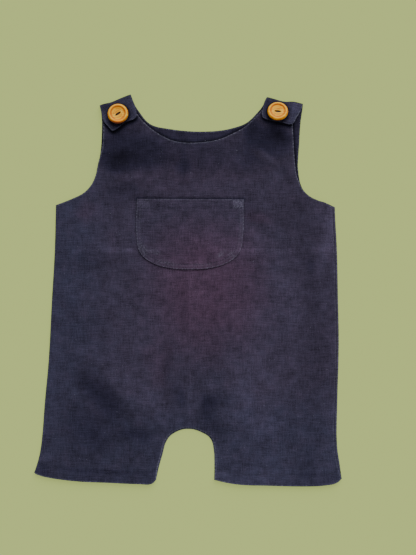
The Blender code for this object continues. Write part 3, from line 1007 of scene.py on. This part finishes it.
def make_back(front_rim):
    """The back panel: flat on the surface, with its straps turned forward as tabs."""
    piece, spots, rim, away, _ = start_cloth("back", -1, SLIGHT_BEND)
    on_tab = spots[:, 2] > TAB_FROM_UP
    tab_rise = wavy(spots, TAB_WAVES) + groove(away - TAB_ROW_SET_IN)
    tab_rise += TAB_EDGE_RISE * close_to(away - TAB_EDGE_REACH, TAB_EDGE_REACH)
    tab_rise += wavy(spots, TAB_PUCKERS) * close_to(away, TAB_PUCKERS_REACH)
    tab_rise *= smooth_step((spots[:, 2] - BEND_MIDDLE_UP) / TAB_RISE_FADE)
    spots[:, 2] += np.where(on_tab, tab_rise, 0)
    lifted = creased(BACK_CREASES, spots) + BACK_RUMPLED * np.maximum(rumpled(spots), 0)
    lifted *= smooth_step((away - FLAT_BACK_EDGE) / RUMPLES_FADE_IN)
    spots[:, 2] += np.where(spots[:, 2] < BEND_FROM_UP, lifted, 0)
    for swell in SHOULDER_SWELLS:
        near = np.hypot(*(spots[:, :2] - np.array(swell.middle) * MM).T)
        spots[:, 1] += swell.rise * MM * close_to(near, swell.reach * MM)
    set_places(piece.data, spots)
    lay_out_flat(piece)
    # Painted shade on the shoulder bends and uneven tone on the rest of the panel; the tabs a little
    # darker, with painted light and shade on their folds, and painted highlights with rubbed lint on
    # their edges
    panel_tone = np.where(spots[:, 2] > BEND_FROM_UP, BEND_SHADE, patchy(spots, BACK_TONES))
    tone = np.where(on_tab, TAB_TONE + patchy(spots, TAB_SHADING_AND_TONES, TAB_PATCH_WANDER), panel_tone)
    edge_lit_and_worn = np.where(on_tab, TAB_EDGE_LIT_AND_WORN + patchy(spots, TAB_LIT_AND_WORN_PATCHES, TAB_PATCH_WANDER), 1)
    mark_colours(piece, spots, tone, away, edge_lit_and_worn=edge_lit_and_worn)
    thicken(piece)
    shade_inside(piece, front_rim)
    return piece, rim


def shade_inside(piece, front_rim):
    """Paints shade on the back's inner face, a painted shadow where the front's open edge lies on it,
    painted light with a painted shadow at the edge along the side seams, and painted light round the
    inner legs.
    """
    spots = places(piece.data)
    normals = np.empty(spots.size)
    piece.data.vertex_normals.foreach_get("vector", normals)
    inner = smooth_step(normals[2::3] * 2) * (spots[:, 2] < BEND_MIDDLE_UP)
    by_front, nearest = far_aside(front_rim, spots)
    on_open_edge = INSIDE_SHADE + CONTACT_SHADOW * close_to(by_front, CONTACT_REACH)
    at_seam = SEAM_INSIDE_LIGHT + SEAM_CONTACT_SHADOW * close_to(by_front, SEAM_CONTACT_REACH)
    inside = np.where(on_side_seam(nearest), at_seam, on_open_edge)
    inside = np.where(on_inner_legs(nearest), INNER_LEG_INSIDE_LIGHT, inside)
    add_tone(piece, inner * inside)


# Sewing


def make_stitch():
    """One stitch: a plump bit of thread whose ends dip into the cloth."""
    bpy.ops.mesh.primitive_uv_sphere_add(segments=8, ring_count=6, radius=0.5)
    piece = bpy.context.object
    edit(piece, True)
    bpy.ops.transform.resize(value=(STITCH_HEIGHT, STITCH_WIDTH, STITCH_LENGTH))
    bpy.ops.transform.rotate(
        value=math.pi / 2, orient_axis="Y", center_override=(0, 0, 0), orient_type="GLOBAL"
    )
    done_editing()
    spots = places(piece.data)
    spots[:, 2] -= STITCH_HEIGHT * STITCH_ENDS_DIP * (spots[:, 0] / (STITCH_LENGTH / 2)) ** 2
    set_places(piece.data, spots)
    piece.data.shade_smooth()
    piece.data.name = "stitch"
    piece.name = "stitch"
    return piece


class Row(NamedTuple):
    """Stitches at these places in turn, each turned by an angle from the row's own direction."""

    path: np.ndarray
    pitch: float = STITCH_PITCH
    turn: float = 0
    length: float = 1
    from_below: bool = False


def even_steps(path, pitch):
    """Places at even steps along a path, and the direction of the path there."""
    path = np.asarray(path)[:, :2]
    travelled = np.concatenate([[0], np.cumsum(np.hypot(*np.diff(path, axis=0).T))])
    count = max(int(travelled[-1] / pitch), 1)
    at = (np.arange(count) + 0.5) * travelled[-1] / count
    spot = lambda far: np.stack([np.interp(far, travelled, path[:, axis]) for axis in (0, 1)], 1)
    ahead = spot(at + pitch / 4) - spot(at - pitch / 4)
    return spot(at), np.arctan2(ahead[:, 1], ahead[:, 0])


def sew(name, rows, cloth, stitch):
    """Lays rows of stitches on a cloth and joins them into one piece."""
    surface = BVHTree.FromObject(cloth, bpy.context.evaluated_depsgraph_get())
    hand = random.Random(len(rows))
    made = []
    for row in rows:
        side = -1 if row.from_below else 1
        for (x, y), heading in zip(*even_steps(row.path, row.pitch)):
            above = Vector((x, y, side * CLEAR_OF_CLOTH))
            hit, normal, _, _ = surface.ray_cast(above, Vector((0, 0, -side)))
            if hit is None:
                continue
            up = normal if normal.z * side > 0 else -normal
            angle = heading + row.turn + hand.uniform(*STITCH_TURNS)
            along = Vector((math.cos(angle), math.sin(angle), 0))
            along = (along - up * along.dot(up)).normalized()
            turned = Matrix((along, up.cross(along), up)).transposed().to_4x4()
            size = Matrix.Diagonal((row.length * hand.uniform(*STITCH_LENGTH_SHARES), 1, 1, 1))
            own = stitch.copy()
            own.data = stitch.data.copy()
            lift = -SUNK_BELOW if row.from_below else STITCH_LIFT
            own.data.transform(Matrix.Translation(hit + up * lift) @ turned @ size)
            bpy.context.scene.collection.objects.link(own)
            made.append(own)
    return join(made, name)


def inset(rim, amount):
    """A closed rim moved inwards, without the stretches that its corners cut off."""
    ahead = np.roll(rim, -1, 0) - np.roll(rim, 1, 0)
    x, y = rim[:, 0], rim[:, 1]
    area = np.sum(x * np.roll(y, -1) - np.roll(x, -1) * y)
    inward = np.stack([-ahead[:, 1], ahead[:, 0]], 1) * np.sign(area)
    inward /= np.linalg.norm(inward, axis=1)[:, None]
    moved = np.column_stack([rim[:, :2] + inward * amount, rim[:, 2]])
    away, _ = far_aside(rim, moved)
    return moved[away > amount * INSET_KEPT]


def from_widest_gap(path):
    """The same closed path, started just after its widest gap."""
    gaps = np.linalg.norm(path - np.roll(path, 1, 0), axis=1)
    return np.roll(path, -int(np.argmax(gaps)), 0)


def pocket_rows(rim):
    """The pocket's hem, the row round its sides and bottom, and the crossed boxes at its corners."""
    top = rim[:, 1].max()
    row = inset(rim, POCKET_ROW_SET_IN)
    row = from_widest_gap(row[row[:, 1] < top - POCKET_ROW_BELOW_MOUTH])
    left, right = rim[:, 0].min() + POCKET_ROW_END, rim[:, 0].max() - POCKET_ROW_END
    hem_up = top - POCKET_HEM_DEPTH
    rows = [Row(row), Row(np.array([(left, hem_up), (right, hem_up)]))]
    upper, lower = top - BOX_BELOW_MOUTH, hem_up + BOX_ABOVE_ROW
    for end, inward in ((left, 1), (right, -1)):
        outer, inner = end + inward * BOX_OUTER, end + inward * BOX_INNER
        box = [(outer, upper), (inner, upper), (inner, lower), (outer, lower), (outer, upper)]
        for line in (box, [box[0], box[2]], [box[1], box[3]]):
            rows.append(Row(np.array(line), pitch=BOX_PITCH, length=BOX_STITCH))
    return rows


def hem_rows(hem, from_below):
    """The rows above the two leg hems."""
    rows = []
    for start, end in HEM_ROWS:
        across = np.linspace(start * MM, end * MM, HEM_ROW_POINTS)
        rows.append(Row(np.stack([across, hem(across) + HEM_DEPTH], 1), from_below=from_below))
    return rows


def front_rows(hem):
    """The front's leg hems and the loops that bind the right hem's outer corner."""
    loops = np.array(CORNER_LOOPS) * MM
    rows = hem_rows(hem, False)
    rows.append(Row(loops, LOOP_PITCH, LOOP_TURN, LOOP_STITCH))
    return rows


def tab_rows(rim):
    """The row inside each tab's edge, and the worked edges of its buttonhole with a cap at its end."""
    rows = []
    for place in BUTTONS:
        side = math.copysign(1, place.across)
        tab = rim[(rim[:, 2] > TAB_FROM_UP) & (rim[:, 0] * side > 0)]
        tab = from_widest_gap(tab)
        row = inset(tab, TAB_ROW_SET_IN)
        row = from_widest_gap(row[row[:, 2] > TAB_FROM_UP])
        rows.append(Row(row))
        end = np.array(place.buttonhole_end) * MM
        start = np.array((place.across, place.up)) * MM
        along = (end - start) / np.linalg.norm(end - start)
        aside = np.array((-along[1], along[0])) * BUTTONHOLE_HALF_WIDTH
        for edge in (aside, -aside):
            line = np.array([start + edge, end + edge])
            rows.append(Row(line, BUTTONHOLE_PITCH, turn=math.pi / 2, length=BUTTONHOLE_STITCH))
        cap = np.array([end - aside * CAP_WIDTH_SHARE, end + aside * CAP_WIDTH_SHARE])
        rows.append(Row(cap, CAP_PITCH, turn=math.pi / 2, length=CAP_STITCH))
    return rows


# Buttons


def make_rings(rings):
    """In edit mode, extrudes the selected face through rings of a turned shape."""
    radius, height = WIDEST_RING
    for next_radius, next_height in rings:
        rise = (next_height - height) * BUTTON_HEIGHT
        bpy.ops.mesh.extrude_region_move(TRANSFORM_OT_translate={"value": (0, 0, rise)})
        share = next_radius / radius
        bpy.ops.transform.resize(value=(share, share, 1), center_override=(0, 0, 0))
        radius, height = next_radius, next_height


def make_button(place):
    """A turned wooden button with a raised rim, a dish, a long eye and two thread holes."""
    bpy.ops.mesh.primitive_circle_add(
        vertices=BUTTON_SIDES,
        radius=BUTTON_RADIUS,
        fill_type="NGON",
        location=(0, 0, WIDEST_RING[1] * BUTTON_HEIGHT),
    )
    piece = bpy.context.object
    bpy.ops.object.transform_apply(location=True)
    piece.name = f"{place.node}_turned"
    edit(piece, True)
    make_rings(UPPER_RINGS)
    bpy.ops.mesh.select_all(action="SELECT")
    bpy.ops.mesh.normals_make_consistent(inside=False)
    bpy.ops.mesh.select_all(action="DESELECT")
    select_faces(piece, lambda face: face.normal.z < -0.9)
    make_rings(LOWER_RINGS)
    bpy.ops.mesh.select_all(action="SELECT")
    bpy.ops.mesh.normals_make_consistent(inside=False)
    done_editing()
    dish = BUTTON_HEIGHT * UPPER_RINGS[-1][1]
    bpy.ops.mesh.primitive_uv_sphere_add(segments=40, ring_count=20, radius=0.5, location=(0, 0, dish))
    eye = bpy.context.object
    eye.scale = EYE_SIZE
    bpy.ops.object.transform_apply(location=True, scale=True)
    cutters = [eye]
    for across in (-HOLE_SPACING / 2, HOLE_SPACING / 2):
        bpy.ops.mesh.primitive_cylinder_add(
            vertices=24, radius=HOLE_RADIUS, depth=BUTTON_HEIGHT * 3, location=(across, 0, 0)
        )
        cutters.append(bpy.context.object)
    for tool in cutters:
        apply_modifier(piece, "BOOLEAN", operation="DIFFERENCE", solver="EXACT", object=tool)
        bpy.data.objects.remove(tool)
    round_edges(piece, BUTTON_ROUNDING, BUTTON_EDGE_BEND)
    spots = places(piece.data)
    turn = math.radians(place.eye_degrees)
    shift = FIGURE_SHIFT * np.array((math.sin(turn), math.cos(turn)))
    mark(piece, "radius", np.hypot(*(spots[:, :2] - shift).T) / BUTTON_RADIUS)
    mark(piece, "eye", np.hypot(spots[:, 0] / EYE_SIZE[0], spots[:, 1] / EYE_SIZE[1]) * 2)
    piece.data.transform(button_place(place))
    work_on(piece)
    bpy.ops.object.shade_smooth_by_angle(angle=BUTTON_SHADED_BEND)
    return piece


def button_place(place):
    """Where a button's own middle and axes lie."""
    tilt = Matrix.Rotation(-math.radians(place.tilt_degrees), 4, "X")
    eye = Matrix.Rotation(math.radians(place.eye_degrees), 4, "Z")
    spot = Vector((place.across, place.up, place.above_floor)) * MM
    return Matrix.Translation(spot) @ tilt @ eye


def button_rim(place):
    """The widest ring of a button, as places in turn."""
    turned = button_place(place)
    ring = []
    for number in range(BUTTON_SIDES):
        angle = 2 * math.pi * number / BUTTON_SIDES
        out = Vector((math.cos(angle), math.sin(angle), 0)) * BUTTON_RADIUS
        ring.append(turned @ (out + Vector((0, 0, WIDEST_RING[1] * BUTTON_HEIGHT))))
    return np.array(ring)


def make_button_thread(place):
    """The thread that holds a button: strands across its eye and a short shank under it."""
    strands = []
    low = -(place.above_floor - TAB_TOP) * MM
    half = HOLE_SPACING / 2
    crest = BUTTON_HEIGHT * STRAND_CREST
    for aside in STRANDS_ASIDE:
        curve = bpy.data.curves.new("strand", "CURVE")
        curve.dimensions = "3D"
        curve.bevel_depth = STRAND_RADIUS
        curve.bevel_resolution = 2
        curve.use_fill_caps = True
        curve.resolution_u = 5
        spline = curve.splines.new("BEZIER")
        route = [(-half, low), (-half, crest * 0.7), (0, crest), (half, crest * 0.7), (half, low)]
        spline.bezier_points.add(len(route) - 1)
        for bezier, (across, up) in zip(spline.bezier_points, route):
            bezier.co = (across, aside * MM, up)
            bezier.handle_left_type = "AUTO"
            bezier.handle_right_type = "AUTO"
        guide = bpy.data.objects.new("strand", curve)
        bpy.context.scene.collection.objects.link(guide)
        work_on(guide)
        bpy.ops.object.convert(target="MESH")
        strands.append(bpy.context.object)
    piece = join(strands, f"{place.node}_thread")
    edit(piece, True)
    bpy.ops.mesh.remove_doubles(threshold=MERGE)
    bpy.ops.mesh.normals_make_consistent(inside=False)
    done_editing()
    piece.data.transform(button_place(place))
    piece.data.shade_smooth()
    return piece


# Finishes


class Value:
    """What comes out of a socket. Sums on it become Math nodes."""

    def __init__(self, finish, socket):
        self.finish = finish
        self.socket = socket

    def maths(self, operation, *others):
        terms = dict(enumerate((self, *others)))
        return self.finish.node("ShaderNodeMath", {"operation": operation}, terms)

    def other(self, name):
        """Another output of the same node."""
        return Value(self.finish, self.socket.node.outputs[name])

    def __add__(self, more):
        return self.maths("ADD", more)

    def __sub__(self, less):
        return self.maths("SUBTRACT", less)

    def __rsub__(self, whole):
        return self.finish.node("ShaderNodeMath", {"operation": "SUBTRACT"}, {0: whole, 1: self})

    def __mul__(self, times):
        return self.maths("MULTIPLY", times)

    __radd__ = __add__
    __rmul__ = __mul__


class Finish:
    """A material with one Principled shader, and the nodes that feed it."""

    def __init__(self, name):
        self.material = bpy.data.materials.new(name)
        self.material.use_nodes = True
        self.tree = self.material.node_tree
        self.shader = self.tree.nodes["Principled BSDF"]

    def node(self, kind, settings=None, sockets=None, output=0):
        """Adds a node of this type, sets its settings, then gives its sockets values or links."""
        made = self.tree.nodes.new(kind)
        for name, setting in (settings or {}).items():
            if name == "stops":
                for number, (spot, colour) in enumerate(setting):
                    stops = made.color_ramp.elements
                    stop = stops[number] if number < 2 else stops.new(spot)
                    stop.position = spot
                    stop.color = (*colour, 1)
            else:
                setattr(made, name, setting)
        for name, value in (sockets or {}).items():
            self.feed(made.inputs[name], value)
        return Value(self, made.outputs[output])

    def feed(self, socket, value):
        if isinstance(value, Value):
            self.tree.links.new(value.socket, socket)
        elif socket.type == "RGBA" and len(value) == 3:
            socket.default_value = (*value, 1)
        else:
            socket.default_value = value

    def surface(self, **sockets):
        """Gives the shader's own sockets values or links, with underscores for spaces."""
        for name, value in sockets.items():
            self.feed(self.shader.inputs[name.replace("_", " ")], value)

    def object_place(self):
        """Each place in the model's own frame."""
        return self.node("ShaderNodeTexCoord", output="Object")

    def attribute(self, name):
        """What the mesh's points say under this name."""
        return self.node("ShaderNodeAttribute", {"attribute_name": name}, output="Fac")

    def mottle(self, place, sizes, detail=2, shift=(0, 0, 0), turn=0):
        """Noise from 0 to 1 whose grains are this large, across, up and out where there are three."""
        if not isinstance(sizes, tuple):
            sizes = (sizes,) * 3
        scale = tuple(1 / size for size in sizes)
        moved = {"Vector": place, "Location": shift, "Rotation": (0, 0, turn), "Scale": scale}
        place = self.node("ShaderNodeMapping", None, moved)
        sockets = {"Vector": place, "Scale": 1, "Detail": detail, "Roughness": 0.55}
        return self.node("ShaderNodeTexNoise", {"noise_dimensions": "3D"}, sockets)

    def fade(self, value, low, high):
        """0 at low and 1 at high, with soft ends. High may be the smaller one."""
        sockets = {"Value": value, "From Min": low, "From Max": high}
        return self.node("ShaderNodeMapRange", {"interpolation_type": "SMOOTHSTEP"}, sockets)

    def mix(self, share, first, second):
        """The first colour, changed to the second by a share."""
        settings = {"data_type": "RGBA", "clamp_factor": True}
        return self.node("ShaderNodeMix", settings, {0: share, 6: first, 7: second}, output=2)

    def brighten(self, colour, times):
        settings = {"operation": "SCALE"}
        return self.node("ShaderNodeVectorMath", settings, {0: colour, "Scale": times})

    def bump(self, height, strength, distance):
        sockets = {"Height": height, "Strength": strength, "Distance": distance}
        return self.node("ShaderNodeBump", None, sockets, output="Normal")


# Linen: the cloth's colours, and the sizes of its yarns and slubs
NAVY = (0.0420, 0.0343, 0.0588)
PLUM = (0.0630, 0.0347, 0.0618)
SLATE = (0.0348, 0.0343, 0.0618)
# A bluer shaded copy of the navy, for where the painted shade is deep
SHADED_NAVY = (0.0335, 0.0308, 0.0650)
# The pale colour of loose lint, also used for the painted highlights along the edges
LINT_AND_HIGHLIGHT = (0.20, 0.20, 0.26)
YARN = 0.78 * MM
SLUB_LENGTH = 11 * MM
SLUB_WIDTH = 1.15 * MM


def make_linen():
    """Plain-woven slubbed linen, plum over the belly, bluer towards the sides, with painted shade and
    light read from its points, bluer where that shade is deep, and paler edges of painted highlight and
    rubbed lint.
    """
    finish = Finish("slubbed_linen")
    flat = finish.node("ShaderNodeUVMap", {"uv_map": "cloth"})
    across = finish.node("ShaderNodeSeparateXYZ", None, {"Vector": flat}, output="X")
    up = across.other("Y")
    weft = finish.mottle(flat, (SLUB_LENGTH, SLUB_WIDTH, 1))
    warp = finish.mottle(flat, (SLUB_WIDTH, SLUB_LENGTH, 1), shift=(4.3, 1.9, 0))
    yarns = finish.mottle(flat, 0.9 * MM, 3)
    clouds = finish.mottle(flat, 9 * MM, 3)
    patches = finish.mottle(flat, 16 * MM, shift=(6, 3, 0))
    broad = finish.mottle(flat, 55 * MM, shift=(2, 5, 0))
    runs = finish.mottle(flat, (26 * MM, 2.6 * MM, 1), shift=(3, 8, 0))

    warp_wave = ((across + (weft - 0.5) * (0.5 * YARN)) * (math.pi / YARN)).maths("SINE")
    weft_wave = ((up + (warp - 0.5) * (0.5 * YARN)) * (math.pi / YARN)).maths("SINE")
    over = warp_wave * weft_wave * 0.5 + 0.5
    weave = warp_wave.maths("ABSOLUTE") * over + weft_wave.maths("ABSOLUTE") * (1 - over)

    left = finish.fade(across + (broad - 0.5) * (40 * MM), -60 * MM, -120 * MM)
    legs = finish.fade(up + (broad - 0.5) * (60 * MM), -70 * MM, -150 * MM)
    tabs = finish.fade(up, 184 * MM, 194 * MM)
    blue = left.maths("MAXIMUM", legs).maths("MAXIMUM", tabs)
    colour = finish.mix(blue * 0.8 + (patches - 0.5) * 0.9, NAVY, SLATE)
    colour = finish.mix(finish.attribute("blush") * 0.85 + (clouds - 0.5) * 0.45, colour, PLUM)

    streaks = (weft - 0.5) * 1.0 + (warp - 0.5) * 0.95 + (yarns - 0.5) * 1.7 + (runs - 0.5) * 0.25
    # The painted shade and light with the cloth's uneven tone, as the points carry them
    patch = finish.attribute("tone")
    # Where the painted shade is deep the navy turns to its bluer shaded copy
    colour = finish.mix(finish.fade(patch, -0.12, -0.5) * 0.7, colour, SHADED_NAVY)
    blotches = (clouds - 0.5) * 0.75 + (patches - 0.5) * 0.55 + (broad - 0.5) * 0.3
    tone = 1 + streaks + blotches + (weave - 0.6) * 0.12
    colour = finish.brighten(colour, tone * (1 + patch))
    lint = finish.fade(finish.mottle(flat, 1.5 * MM, 1, (7, 7, 0)), 0.74, 0.80)
    speckle = finish.mottle(flat, 1.7 * MM, shift=(9, 1, 0))
    # Paler edges and patches, speckled: painted highlights with rubbed lint
    lit_and_worn = finish.attribute("wear_and_highlight") * (0.12 + finish.fade(speckle, 0.45, 0.66) * 0.55)
    colour = finish.mix((lint * 0.5).maths("MAXIMUM", lit_and_worn), colour, LINT_AND_HIGHLIGHT)

    finish.surface(
        Base_Color=colour,
        Roughness=0.86 + (yarns - 0.5) * 0.2,
        Normal=finish.bump(weave * 0.6 + weft * 0.9 + warp * 0.9, 0.55, 0.22 * MM),
        Specular_IOR_Level=0.05,
        Sheen_Weight=0.03,
        Sheen_Roughness=0.5,
        Sheen_Tint=(0.5, 0.5, 0.9),
    )
    return finish.material


# Thread: the shaded and the lit side of its twist
THREAD_COLOURS = ((0.019, 0.018, 0.032), (0.036, 0.034, 0.056))


def make_thread_finish():
    """Matt navy sewing thread with its twist."""
    finish = Finish("sewing_thread")
    place = finish.object_place()
    twist = finish.mottle(place, (0.5 * MM, 0.25 * MM, 0.25 * MM), turn=0.6)
    colour = finish.mix(twist, *THREAD_COLOURS)
    finish.surface(
        Base_Color=colour,
        Roughness=0.7 + twist * 0.15,
        Normal=finish.bump(twist, 0.5, 0.1 * MM),
        Specular_IOR_Level=0.15,
        Sheen_Weight=0.05,
    )
    return finish.material


# Wood: the figure's colours as a ramp from dark to pale with its middle last, then the painted
# highlights and painted shade of the button's rim, dish and eye, and its pores
WOOD_FIGURE = [(0.39, (0.48, 0.13, 0.002)), (0.61, (0.88, 0.48, 0.032)), (0.5, (0.70, 0.285, 0.004))]
# Pale painted highlight, redder painted shade and darker painted shade for the rim and the dish
LIT_WOOD = (0.94, 0.58, 0.07)
SHADED_RED_WOOD = (0.60, 0.105, 0.006)
SHADED_RIM = (0.15, 0.045, 0.02)
PORE_WOOD = (0.28, 0.10, 0.02)
# A painted highlight on the raised edge round the eye
LIT_LIP_WOOD = (0.92, 0.60, 0.09)
# Painted shade inside the eye
SHADED_EYE_WOOD = (0.09, 0.062, 0.04)
LOWER_HALF_UP = (172 * MM, 167 * MM)
GRAIN_TURN = 0.5
LATHE_MARKS = 92
COLOUR_RING = 0.25


def make_wood():
    """Turned and waxed pale wood: long grain, fine pores and the marks of the lathe, with painted
    highlights and painted shade on its rim, dish and eye.
    """
    finish = Finish("turned_wood")
    place = finish.object_place()
    radius, eye = finish.attribute("radius"), finish.attribute("eye")
    grain = finish.mottle(place, (9 * MM, 1.3 * MM, 3 * MM), 4, turn=GRAIN_TURN)
    pores = finish.mottle(place, (2.2 * MM, 0.35 * MM, 0.8 * MM), 3, turn=GRAIN_TURN)
    clouds = finish.mottle(place, 5 * MM)
    lathe = ((radius + (clouds - 0.5) * 0.02) * LATHE_MARKS).maths("SINE")
    turned = finish.node("ShaderNodeCombineXYZ", None, {"X": radius * 10, "Y": grain * 1.2})
    rings = finish.mottle(turned, 1)
    figure = grain * 0.45 + clouds * 0.15 + rings * 0.4
    colour = finish.node("ShaderNodeValToRGB", {"stops": WOOD_FIGURE}, {"Fac": figure})
    up = finish.node("ShaderNodeSeparateXYZ", None, {"Vector": place}, output="Y")
    # The lower half of the button, whose rim and dish wall take their painted shade and light the other
    # way round from the upper half's
    lower = finish.fade(up + (clouds - 0.5) * (4 * MM), *LOWER_HALF_UP)
    wall = finish.fade(radius, 0.62, 0.66) * finish.fade(radius, 0.76, 0.71)
    crest = finish.fade(radius, 0.74, 0.80) * finish.fade(radius, 0.95, 0.88)
    rim = finish.fade(radius, 0.76, 0.86)
    # Painted highlights: pale on the rim's crest and on the dish's lower wall, which faces the light
    colour = finish.mix((wall * lower).maths("MAXIMUM", crest) * 0.32, colour, LIT_WOOD)
    # Painted shade: redder on the rim's lower side and on the dish's upper wall, which face away from
    # the light, then darker on the rim's lower edge
    red = (rim * lower * 0.9).maths("MAXIMUM", wall * (1 - lower) * 0.85)
    colour = finish.mix(red, colour, SHADED_RED_WOOD)
    colour = finish.mix(finish.fade(radius, 0.92, 0.98) * lower * 0.8, colour, SHADED_RIM)
    ringed = ((radius - 0.5) * (2 * math.pi / COLOUR_RING)).maths("COSINE")
    colour = finish.brighten(colour, 1.02 + ringed * finish.fade(radius, 0.70, 0.66) * 0.09)
    colour = finish.mix(finish.fade(pores, 0.40, 0.28) * 0.35, colour, PORE_WOOD)
    # A painted highlight on the raised edge round the eye
    lip = finish.fade(eye, 1.05, 1.25) * finish.fade(eye, 1.8, 1.45)
    colour = finish.mix(lip * 0.45, colour, LIT_LIP_WOOD)
    # Painted shade inside the eye
    colour = finish.mix(finish.fade(eye, 1.12, 0.9) * 0.8, colour, SHADED_EYE_WOOD)
    finish.surface(
        Base_Color=colour,
        Roughness=0.42 + pores * 0.18,
        Normal=finish.bump(grain * 0.5 + pores * 0.4 + lathe * 0.12, 0.35, 0.12 * MM),
        Specular_IOR_Level=0.12,
    )
    return finish.material


# Paper: its own two colours, and its glow
SAGE = ((0.158, 0.190, 0.059), (0.193, 0.225, 0.070))
SAGE_GLOW = (0.372, 0.449, 0.138, 1)


def make_floor_finish():
    """Plain pale sage paper on a light table, which keeps shadows on it faint."""
    finish = Finish("sage_paper")
    place = finish.object_place()
    fibres = finish.mottle(place, 2 * MM, 3)
    colour = finish.mix(fibres * 0.06, *SAGE)
    finish.surface(
        Base_Color=colour,
        Roughness=0.95,
        Specular_IOR_Level=0.1,
        Emission_Color=SAGE_GLOW,
        Emission_Strength=1,
    )
    return finish.material


# Studio


def make_floor():
    """A plain pale surface that the romper lies on."""
    bpy.ops.mesh.primitive_plane_add(size=FLOOR_SIZE)
    floor = bpy.context.object
    floor.name = "floor"
    edit(floor, True)
    bpy.ops.transform.translate(value=(0, 0, -FLOOR_BELOW))
    done_editing()
    floor.data.materials.append(make_floor_finish())


def make_light():
    """Broad daylight from above the shoulders, and an even fill."""
    light = bpy.data.lights.new("window", "SUN")
    light.energy = DAYLIGHT
    light.angle = DAYLIGHT_SPREAD
    lamp = bpy.data.objects.new("window", light)
    bpy.context.scene.collection.objects.link(lamp)
    lamp.rotation_euler = Vector(DAYLIGHT_FROM).to_track_quat("Z", "Y").to_euler()
    world = bpy.data.worlds.new("studio")
    world.use_nodes = True
    sky = world.node_tree.nodes["Background"]
    sky.inputs["Color"].default_value = FILL_COLOUR
    sky.inputs["Strength"].default_value = FILL
    bpy.context.scene.world = world


def make_camera():
    """Straight above the garment."""
    lens = bpy.data.cameras.new("camera")
    lens.sensor_fit = "VERTICAL"
    lens.sensor_height = SENSOR_HEIGHT
    lens.lens = SENSOR_HEIGHT * (CAMERA_UP - SHARP_HEIGHT) / (PICTURE_HEIGHT_PIXELS * MM)
    lens.clip_start = NEAREST_SEEN
    camera = bpy.data.objects.new("camera", lens)
    camera.location = (*PICTURE_MIDDLE, CAMERA_UP)
    bpy.context.scene.collection.objects.link(camera)
    bpy.context.scene.camera = camera


# The dressed part


def dress(piece, finish, node=None):
    """Gives a piece its finish and its place in the model."""
    piece.data.materials.clear()
    piece.data.materials.append(finish)
    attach(piece, "root")
    if node:
        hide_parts(node)


def main():
    make_camera()
    make_light()
    make_floor()
    linen, thread, wood = make_linen(), make_thread_finish(), make_wood()
    stitch = make_stitch()

    pocket, pocket_rim = make_pocket()
    front, front_rim = make_front(pocket_rim)
    back, back_rim = make_back(front_rim)
    hem = hem_line(front_rim)
    dress(pocket, linen, "pocket")
    dress(front, linen, "front")
    dress(back, linen, "back")

    pocket_sewing = sew("pocket_stitches", pocket_rows(pocket_rim), pocket, stitch)
    front_sewing = sew("front_stitches", front_rows(hem), front, stitch)
    back_sewing = sew("back_stitches", tab_rows(back_rim) + hem_rows(hem, True), back, stitch)
    for sewing in (pocket_sewing, front_sewing, back_sewing):
        dress(sewing, thread)
    bpy.data.objects.remove(stitch)

    tab_rim = back_rim[back_rim[:, 2] > TAB_FROM_UP]
    shade_under(front, tab_rim, UNDER_TAB_SHADOW, UNDER_TAB_REACH)
    for place in BUTTONS:
        shade_under(back, button_rim(place), UNDER_BUTTON_SHADOW, UNDER_BUTTON_REACH)
        dress(make_button(place), wood, place.node)
        dress(make_button_thread(place), thread)


main()
